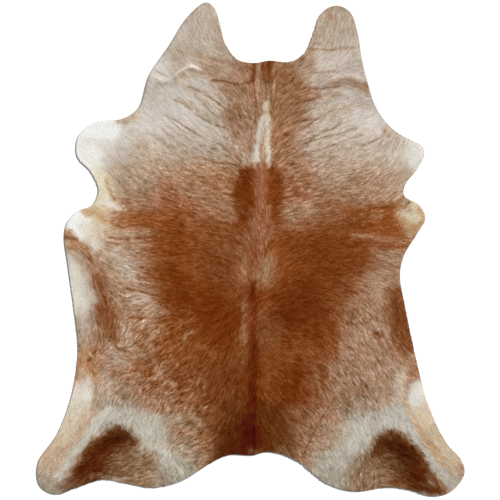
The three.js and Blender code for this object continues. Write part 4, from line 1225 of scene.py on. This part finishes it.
# Short cattle hair: smooth lying tufts, a little darker between the hairs, with a soft warm gloss.
def makeHair(name, look):
    material, tree, output = newMaterial(name)
    # The coat attribute holds the hair's colour with its painted shade and painted highlights.
    coat = addNode(tree, "ShaderNodeAttribute", {"attribute_name": "coat"})
    tuft = addNode(tree, "ShaderNodeUVMap", {"uv_map": "tuft"})
    stretch = addNode(tree, "ShaderNodeMapping", inputs={"Vector": tuft.outputs["UV"]})
    stretch.inputs["Scale"].default_value = (look["hairsAcross"], look["hairsAlong"], 1)
    hairs = addNode(tree, "ShaderNodeTexNoise", {"noise_dimensions": "2D"}, {
        "Vector": stretch.outputs["Vector"],
        "Scale": 1.0,
        "Detail": look["hairDetail"],
        "Roughness": look["hairRoughness"],
    })
    shade = addNode(tree, "ShaderNodeValToRGB", inputs={"Fac": hairs.outputs["Fac"]})
    stops = ((look["darkStop"], look["darkHair"]), (look["lightStop"], look["lightHair"]))
    for element, (position, level) in zip(shade.color_ramp.elements, stops):
        element.position = position
        element.color = (level, level, level, 1)
    mixed = addNode(tree, "ShaderNodeMix", {"data_type": "RGBA", "blend_type": "MULTIPLY"})
    mixed.inputs["Factor"].default_value = 1.0
    tree.links.new(coat.outputs["Color"], mixed.inputs[mixPlaces["first"]])
    tree.links.new(shade.outputs["Color"], mixed.inputs[mixPlaces["second"]])
    bump = addNode(tree, "ShaderNodeBump", inputs={"Height": hairs.outputs["Fac"]})
    bump.inputs["Strength"].default_value = look["bumpStrength"]
    bump.inputs["Distance"].default_value = look["bumpDistance"] * millimetre
    shader = addNode(tree, "ShaderNodeBsdfPrincipled", inputs={
        "Base Color": mixed.outputs[mixPlaces["result"]],
        "Normal": bump.outputs["Normal"],
        "Roughness": look["roughness"],
        "IOR": look["ior"],
        "Specular IOR Level": look["specular"],
        "Specular Tint": hexToLinear(look["gloss"]),
    })
    tree.links.new(shader.outputs["BSDF"], output.inputs["Surface"])
    return material


# Chrome-tanned suede: the flesh side, buffed to a matt nap with faint darker clouds.
def makeSuede(name, look):
    material, tree, output = newMaterial(name)
    place = addNode(tree, "ShaderNodeTexCoord")
    clouds = addNode(tree, "ShaderNodeTexNoise", inputs={
        "Vector": place.outputs["Object"],
        "Scale": 1 / (look["cloudSize"] * millimetre),
        "Detail": look["cloudDetail"],
    })
    nap = addNode(tree, "ShaderNodeTexNoise", inputs={
        "Vector": place.outputs["Object"],
        "Scale": 1 / (look["napSize"] * millimetre),
        "Detail": look["napDetail"],
    })
    mixed = addNode(tree, "ShaderNodeMix", {"data_type": "RGBA"})
    tree.links.new(clouds.outputs["Fac"], mixed.inputs["Factor"])
    mixed.inputs[mixPlaces["first"]].default_value = hexToLinear(look["hollow"])
    mixed.inputs[mixPlaces["second"]].default_value = hexToLinear(look["buffed"])
    bump = addNode(tree, "ShaderNodeBump", inputs={"Height": nap.outputs["Fac"]})
    bump.inputs["Strength"].default_value = look["napStrength"]
    bump.inputs["Distance"].default_value = look["napDepth"] * millimetre
    shader = addNode(tree, "ShaderNodeBsdfPrincipled", inputs={
        "Base Color": mixed.outputs[mixPlaces["result"]],
        "Normal": bump.outputs["Normal"],
        "Roughness": look["roughness"],
        "Sheen Weight": look["sheen"],
    })
    tree.links.new(shader.outputs["BSDF"], output.inputs["Surface"])
    return material


hairLook = {
    "hairsAcross": 7.0,  # a tuft is about 4.8 mm wide, so a clump of hairs is about 0.7 mm
    "hairsAlong": 1.6,
    "hairDetail": 2.0,
    "hairRoughness": 0.6,
    "darkStop": 0.3,
    "lightStop": 0.7,
    "darkHair": 0.86,
    "lightHair": 1.08,
    "bumpStrength": 0.4,
    "bumpDistance": 0.4,
    "roughness": 0.62,
    "ior": 1.55,  # keratin
    "specular": 0.06,
    "gloss": "#E6C4A0",  # light that enters a hair and comes out again takes its warm colour
}
suedeLook = {
    "cloudSize": 160,  # millimetres
    "cloudDetail": 3.0,
    "napSize": 1.6,
    "napDetail": 4.0,
    "napDepth": 0.25,
    "napStrength": 0.5,
    "hollow": "#B39A7C",
    "buffed": "#CDB89B",
    "roughness": 0.9,
    "sheen": 0.15,
}
cattleHair = makeHair("lyingCattleHair", hairLook)
fleshSuede = makeSuede("buffedFleshSuede", suedeLook)
print("materials made:", cattleHair.name, fleshSuede.name)


def newPiece(name, vertices, faces):
    mesh = bpy.data.meshes.new(name)
    mesh.from_pydata(np.asarray(vertices).tolist(), [], faces)
    mesh.validate()
    piece = bpy.data.objects.new(name, mesh)
    bpy.context.scene.collection.objects.link(piece)
    return piece


def setColour(mesh, colour):
    layer = mesh.color_attributes.new("coat", "FLOAT_COLOR", "POINT")
    filled = np.ones((len(colour), 4), np.float32)
    filled[:, :3] = colour
    layer.data.foreach_set("color", filled.ravel())


def setMap(mesh, name, corners):
    layer = mesh.uv_layers.new(name=name)
    layer.data.foreach_set("uv", np.asarray(corners, np.float32).ravel())


def cornerVertices(mesh):
    index = np.zeros(len(mesh.loops), np.int32)
    mesh.loops.foreach_get("vertex_index", index)
    return index


# Seen from above, the whole hide fills the square from 0 to 1.
def fromAbove(x, y):
    low, high = cadBox
    side = max(high.x - low.x, high.y - low.y) * hideLook["mapSide"]
    u = (x - (low.x + high.x) / 2) / side + 0.5
    v = (y - (low.y + high.y) / 2) / side + 0.5
    return np.stack([u, v], -1)


# Triangles over a ring of points and the points inside it. The ring comes first.
def triangulated(points, ring):
    insideRing = 1
    tooClose = 1e-7  # metres
    edges = [(index, (index + 1) % ring) for index in range(ring)]
    places = [Vector(point) for point in points]
    madePoints, _, madeFaces, origins, *_ = delaunay_2d_cdt(places, edges, [], insideRing, tooClose)
    if len(madePoints) != len(points):
        raise ValueError("the face's points were merged")
    order = {new: old[0] for new, old in enumerate(origins)}
    faces = []
    for corners in madeFaces:
        a, b, c = (order[index] for index in corners)
        turn = ((points[b][0] - points[a][0]) * (points[c][1] - points[a][1])
                - (points[b][1] - points[a][1]) * (points[c][0] - points[a][0]))
        faces.append((a, b, c) if turn > 0 else (a, c, b))
    return faces


def outward(edge, distance):
    run = np.roll(edge, -1, 0) - np.roll(edge, 1, 0)
    run /= np.linalg.norm(run, axis=1)[:, None]
    return edge + distance * np.stack([run[:, 1], -run[:, 0]], 1)


# Points in staggered rows, a little off them, over all of the hide that is clear of its edge.
def faceField(survey, step, clear):
    nudge = leather["faceNudge"]
    low = survey["low"]
    rows = []
    rise = step * math.sqrt(0.75)
    across = int((cadBox[1].x - low[0]) / step) + 2
    for index in range(int((cadBox[1].y - low[1]) / rise) + 2):
        x = low[0] + (np.arange(across) + (index % 2) / 2) * step
        rows.append(np.stack([x, np.full(across, low[1] + index * rise)], 1))
    field = np.concatenate(rows)
    field = field + rng.uniform(-nudge, nudge, field.shape) * step
    return field[lookUp(survey, "depth", field[:, 0], field[:, 1]) > clear]


# The tanned hide: one closed sheet with a rounded rim, folds and creases on top, level underneath.
def makeHide(edge, survey):
    ring = len(edge)
    roundness = leather["rimRound"] * millimetre
    drop = leather["rimDrop"] * roundness
    edgeHeight = leather["edgeThickness"] * millimetre
    topRing = outward(edge, -roundness)
    rimRing = outward(edge, -leather["rimInset"] * roundness)
    clear = leather["faceClear"] * leather["faceStep"] * millimetre
    field = faceField(survey, leather["faceStep"] * millimetre, clear)
    topPoints = np.concatenate([topRing, field])
    topFaces = triangulated(topPoints, ring)
    under = faceField(survey, leather["undersideStep"] * millimetre, leather["undersideClear"] * millimetre)
    underPoints = np.concatenate([topRing, under])
    underFaces = triangulated(underPoints, ring)
    height = topHeight(survey, topPoints[:, 0], topPoints[:, 1])
    height[:ring] = edgeHeight
    vertices = [np.column_stack([topPoints, height])]
    count = len(topPoints)
    rims = []
    for points, level in ((rimRing, edgeHeight - drop), (edge, 0.5 * edgeHeight), (rimRing, drop)):
        rims.append(count)
        vertices.append(np.column_stack([points, np.full(ring, level)]))
        count += ring
    underStart = count
    vertices.append(np.column_stack([underPoints, np.zeros(len(underPoints))]))
    faces = list(topFaces)
    topCount = len(faces)
    starts = [0, *rims, underStart]
    for upper, lower in zip(starts[:-1], starts[1:]):
        for index in range(ring):
            following = (index + 1) % ring
            faces.append((upper + index, lower + index, lower + following, upper + following))
    rimCount = len(faces)
    faces += [(underStart + a, underStart + c, underStart + b) for a, b, c in underFaces]
    vertices = np.concatenate(vertices)
    piece = newPiece("tannedHide", vertices, faces)
    mesh = piece.data
    mesh.materials.append(cattleHair)
    mesh.materials.append(fleshSuede)
    slots = np.zeros(len(mesh.polygons), np.int32)
    slots[rimCount:] = 1
    mesh.polygons.foreach_set("material_index", slots)
    mesh.shade_smooth()
    across, down = onGrid(vertices[:, 0], vertices[:, 1])
    length, curl = coatAt(across, down)
    colour = coatColourWithPaintedLight(across, down, curled(across, down, lieAt(across, down), curl), curl)
    # The hide's top takes the coat's colour darkened by painted shade, as at the tufts' roots.
    setColour(mesh, hairAlbedo(colour * hideLook["rootPaintedShade"]))
    corner = cornerVertices(mesh)
    setMap(mesh, "OFBake", fromAbove(vertices[corner, 0], vertices[corner, 1]))
    setMap(mesh, "tuft", vertices[corner, :2] / hideLook["tuftSize"] / millimetre)
    print("hide:", len(vertices), "vertices,", topCount, "faces on top")
    return piece


hideLook = {
    "rootPaintedShade": 0.88,  # painted shade: the coat is a little darker down at the skin, where the hair over it shades it
    "tuftSize": 9,  # millimetres
    "mapSide": 1.02,  # side of the map's square, as a share of the hide's length
}
edge = hideEdge(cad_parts["hide"], leather["edgeCuts"])
survey = surveyHide(edge)
print("edge points:", len(edge))
tannedHide = makeHide(edge, survey)

# The coat: short tufts that lie along the hide. Each is a small leaf with a ridge that starts in the
# leather, rises to its middle and comes to a point. They are joined in bands from neck to tail.
tufts = {
    "apart": 4.15,  # between roots; millimetres, as all sizes here with no other unit
    "rootNudge": 0.3,  # share of that by which a root is off its row
    "edgeClear": 1.0,
    "leastClear": 0.5,
    "width": 4.8,
    "narrowest": 0.75,  # shares of that width
    "widest": 1.2,
    "lengthSpread": 0.3,
    "shortest": 0.15,  # the share of its length that is left of a tuft at the edge
    "creaseLength": 0.75,  # tufts are trodden short in a crease
    "creaseHalf": 1.3,  # half width, in squares, up to which a mark is a crease
    "creaseReach": 3,  # squares
    "waist": 0.45,  # where along its length a tuft is widest
    "ridge": 0.15,  # how far a tuft's middle stands over its sides, at full length
    "sink": 0.3,  # how deep its root starts in the leather
    "rise": 0.85,  # height of its middle over the leather
    "tipRise": 0.55,
    "riseSpread": 0.2,
    "fullLength": 16,
    "turnSpread": 7,  # degrees
    "fromSpine": 0.35,  # how much away from the spine counts beside down the hide
    "bend": 0.12,
    "bendRoom": 4,  # a tuft bends by no more than this many times its room at the edge
    "leastRoom": 0.3,
    "overhang": 0.9,  # how far tips may pass the trimmed edge
    "leastOverhang": 0.1,  # share of that
    "shadeSpread": 0.022,
    # painted shade at a tuft's root, where the tufts over it shade it
    "rootPaintedShade": 0.88,
    "tipShade": 1.04,
    "mapSpread": 40,  # each tuft shows its own hairs: places on the map up to this far apart
    "bands": ["neck", "shoulders", "ribs", "loins", "hindLegs"],
}


# How much a place lies in one of the thin creases: from 0 to 1.
def creaseAt(across, down):
    most = np.zeros(np.shape(across))
    for mark, half, firmness, shade, strength, line in marks:
        if half <= tufts["creaseHalf"]:
            distance = lineDistance(across, down, line)
            most = np.maximum(most, np.exp(-(distance / tufts["creaseReach"]) ** 2))
    return most


def makeTufts(survey):
    apart = tufts["apart"] * millimetre
    nudge = tufts["rootNudge"]
    riseSpread = tufts["riseSpread"]
    roots = faceField(survey, apart, tufts["edgeClear"] * millimetre)
    roots = roots + rng.uniform(-nudge, nudge, roots.shape) * apart
    depth = lookUp(survey, "depth", roots[:, 0], roots[:, 1])
    roots = roots[depth > tufts["leastClear"] * millimetre]
    count = len(roots)
    across, down = onGrid(roots[:, 0], roots[:, 1])
    coatLength, curl = coatAt(across, down)
    lie = curled(across, down, lieAt(across, down), curl)
    turn = lie + math.radians(tufts["turnSpread"]) * rng.standard_normal(count)
    # Of the two ways along the lie, hair points down the hide and away from the spine.
    along = np.stack([np.cos(turn), -np.sin(turn)], 1)
    side = np.sign(across - grid["spineAcross"])
    back = along[:, 0] * side * tufts["fromSpine"] - along[:, 1] < 0
    along[back] *= -1
    sideways = np.stack([-along[:, 1], along[:, 0]], 1)
    length = coatLength * millimetre * (1 + tufts["lengthSpread"] * rng.uniform(-1, 1, count))
    length *= 1 - (1 - tufts["creaseLength"]) * creaseAt(across, down)
    rootDepth = lookUp(survey, "depth", roots[:, 0], roots[:, 1])
    tip = roots + along * length[:, None]
    tipDepth = lookUp(survey, "depth", tip[:, 0], tip[:, 1])
    overhang = tufts["overhang"] * millimetre * rng.uniform(tufts["leastOverhang"], 1, count)
    passes = tipDepth < -overhang
    share = (rootDepth + overhang) / np.maximum(rootDepth - tipDepth, tiny)
    length = np.where(passes, length * np.clip(share, tufts["shortest"], 1), length)
    middle = roots + along * (tufts["waist"] * length)[:, None]
    middleDepth = lookUp(survey, "depth", middle[:, 0], middle[:, 1])
    room = np.maximum(middleDepth + overhang, tufts["leastRoom"] * millimetre)
    width = tufts["width"] * millimetre * rng.uniform(tufts["narrowest"], tufts["widest"], count)
    width = np.minimum(width, 2 * room)
    bend = tufts["bend"] * rng.standard_normal(count) * np.minimum(length, tufts["bendRoom"] * room)
    lift = rng.uniform(1 - riseSpread, 1 + riseSpread, count) * length / tufts["fullLength"] / millimetre
    middleAcross, middleDown = onGrid(middle[:, 0], middle[:, 1])
    colour = coatColourWithPaintedLight(middleAcross, middleDown, lie, curl)
    spread = tufts["shadeSpread"] * hairContrast(colour) * rng.standard_normal(count)
    colour = np.clip(colour + spread[:, None] * hairTint, 0, 1)

    # Five points a tuft: its root, then right, middle and left where it is widest, then its tip.
    waist = tufts["waist"]
    pattern = [(0, 0, 0, 0), (waist, -0.5, 0, 1), (waist, 0, 1, 1), (waist, 0.5, 0, 1), (1, 0, 0, 2)]
    triangles = np.array([(0, 1, 2), (0, 2, 3), (1, 4, 2), (2, 4, 3)])
    levels = (-tufts["sink"], tufts["rise"], tufts["tipRise"])
    points = np.zeros((count, len(pattern), 3))
    for index, (run, aside, ridge, station) in enumerate(pattern):
        place = roots + along * (run * length)[:, None]
        place = place + sideways * (aside * width + (station == 1) * bend)[:, None]
        level = levels[station] * (lift if station else 1) + ridge * tufts["ridge"] * lift
        points[:, index, :2] = place
        points[:, index, 2] = topHeight(survey, place[:, 0], place[:, 1]) + level * millimetre
    # Painted shade along each tuft: its colour is darker at the root, where the tufts over it shade it; the
    # tip is a little lighter.
    tones = np.array([tufts["rootPaintedShade"], 1, 1, 1, tufts["tipShade"]])
    flat = np.array([(0.5 + aside, run) for run, aside, ridge, station in pattern])
    bands = np.array_split(np.argsort(-roots[:, 1], kind="stable"), len(tufts["bands"]))
    pieces = []
    for part, band in zip(tufts["bands"], bands):
        faces = (np.arange(len(band))[:, None, None] * len(pattern) + triangles[None]).reshape(-1, 3)
        name = f"coat_{part}"
        places = points[band].reshape(-1, 3)
        piece = newPiece(name, places, faces.tolist())
        mesh = piece.data
        mesh.materials.append(cattleHair)
        mesh.shade_smooth()
        tone = (colour[band][:, None, :] * tones[None, :, None]).reshape(-1, 3)
        setColour(mesh, hairAlbedo(tone))
        corner = cornerVertices(mesh)
        setMap(mesh, "OFBake", fromAbove(places[corner, 0], places[corner, 1]))
        shift = rng.uniform(0, tufts["mapSpread"], (len(band), 1, 2))
        setMap(mesh, "tuft", (flat[None] + shift).reshape(-1, 2)[corner])
        pieces.append(piece)
        print("coat:", name, len(band), "tufts,", len(faces), "triangles")
    return pieces


coatPieces = makeTufts(survey)

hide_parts("hide")
for piece in (tannedHide, *coatPieces):
    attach(piece, "root")

stage = {
    "floorSide": 60,
    "floor": "#FBFBFA",
    "floorRoughness": 0.9,
    "floorSpecular": 0.1,
    "sunFrom": (0.62, 0.56, 0.42),  # from the upper right of the picture
    "sunStrength": 6.0,
    "sunSpread": 5,  # degrees
    "skyStrength": 0.26,
    "sky": "#FFFFFF",
    "lens": 50,
    "sensor": 36,
    "pictureSquares": 500,  # side of the photograph's frame
}


def makeStage():
    material, tree, output = newMaterial("whiteStudioFloor")
    shader = addNode(tree, "ShaderNodeBsdfPrincipled", inputs={
        "Base Color": hexToLinear(stage["floor"]),
        "Roughness": stage["floorRoughness"],
        "Specular IOR Level": stage["floorSpecular"],
    })
    tree.links.new(shader.outputs["BSDF"], output.inputs["Surface"])
    half = stage["floorSide"] / 2
    corners = [(-half, -half, 0), (half, -half, 0), (half, half, 0), (-half, half, 0)]
    floor = newPiece("floor", corners, [(0, 1, 2, 3)])
    floor.data.materials.append(material)

    sun = bpy.data.lights.new("sun", "SUN")
    sun.energy = stage["sunStrength"]
    sun.angle = math.radians(stage["sunSpread"])
    lamp = bpy.data.objects.new("sun", sun)
    lamp.rotation_mode = "QUATERNION"
    lamp.rotation_quaternion = Vector(stage["sunFrom"]).to_track_quat("Z", "Y")
    bpy.context.scene.collection.objects.link(lamp)

    world = bpy.data.worlds.new("softStudioSky")
    bpy.context.scene.world = world
    world.use_nodes = True
    background = world.node_tree.nodes["Background"]
    background.inputs["Color"].default_value = hexToLinear(stage["sky"])
    background.inputs["Strength"].default_value = stage["skyStrength"]

    camera = bpy.data.cameras.new("camera")
    camera.lens = stage["lens"]
    camera.sensor_width = stage["sensor"]
    eye = bpy.data.objects.new("camera", camera)
    pictureSide = stage["pictureSquares"] * grid["square"]
    x, y = onHide(stage["pictureSquares"] / 2, stage["pictureSquares"] / 2)
    eye.location = (x, y, pictureSide * stage["lens"] / stage["sensor"] + leather["thickness"] * millimetre)
    bpy.context.scene.collection.objects.link(eye)
    bpy.context.scene.camera = eye
    bpy.context.scene.view_settings.view_transform = "Standard"


makeStage()
print("stage made")
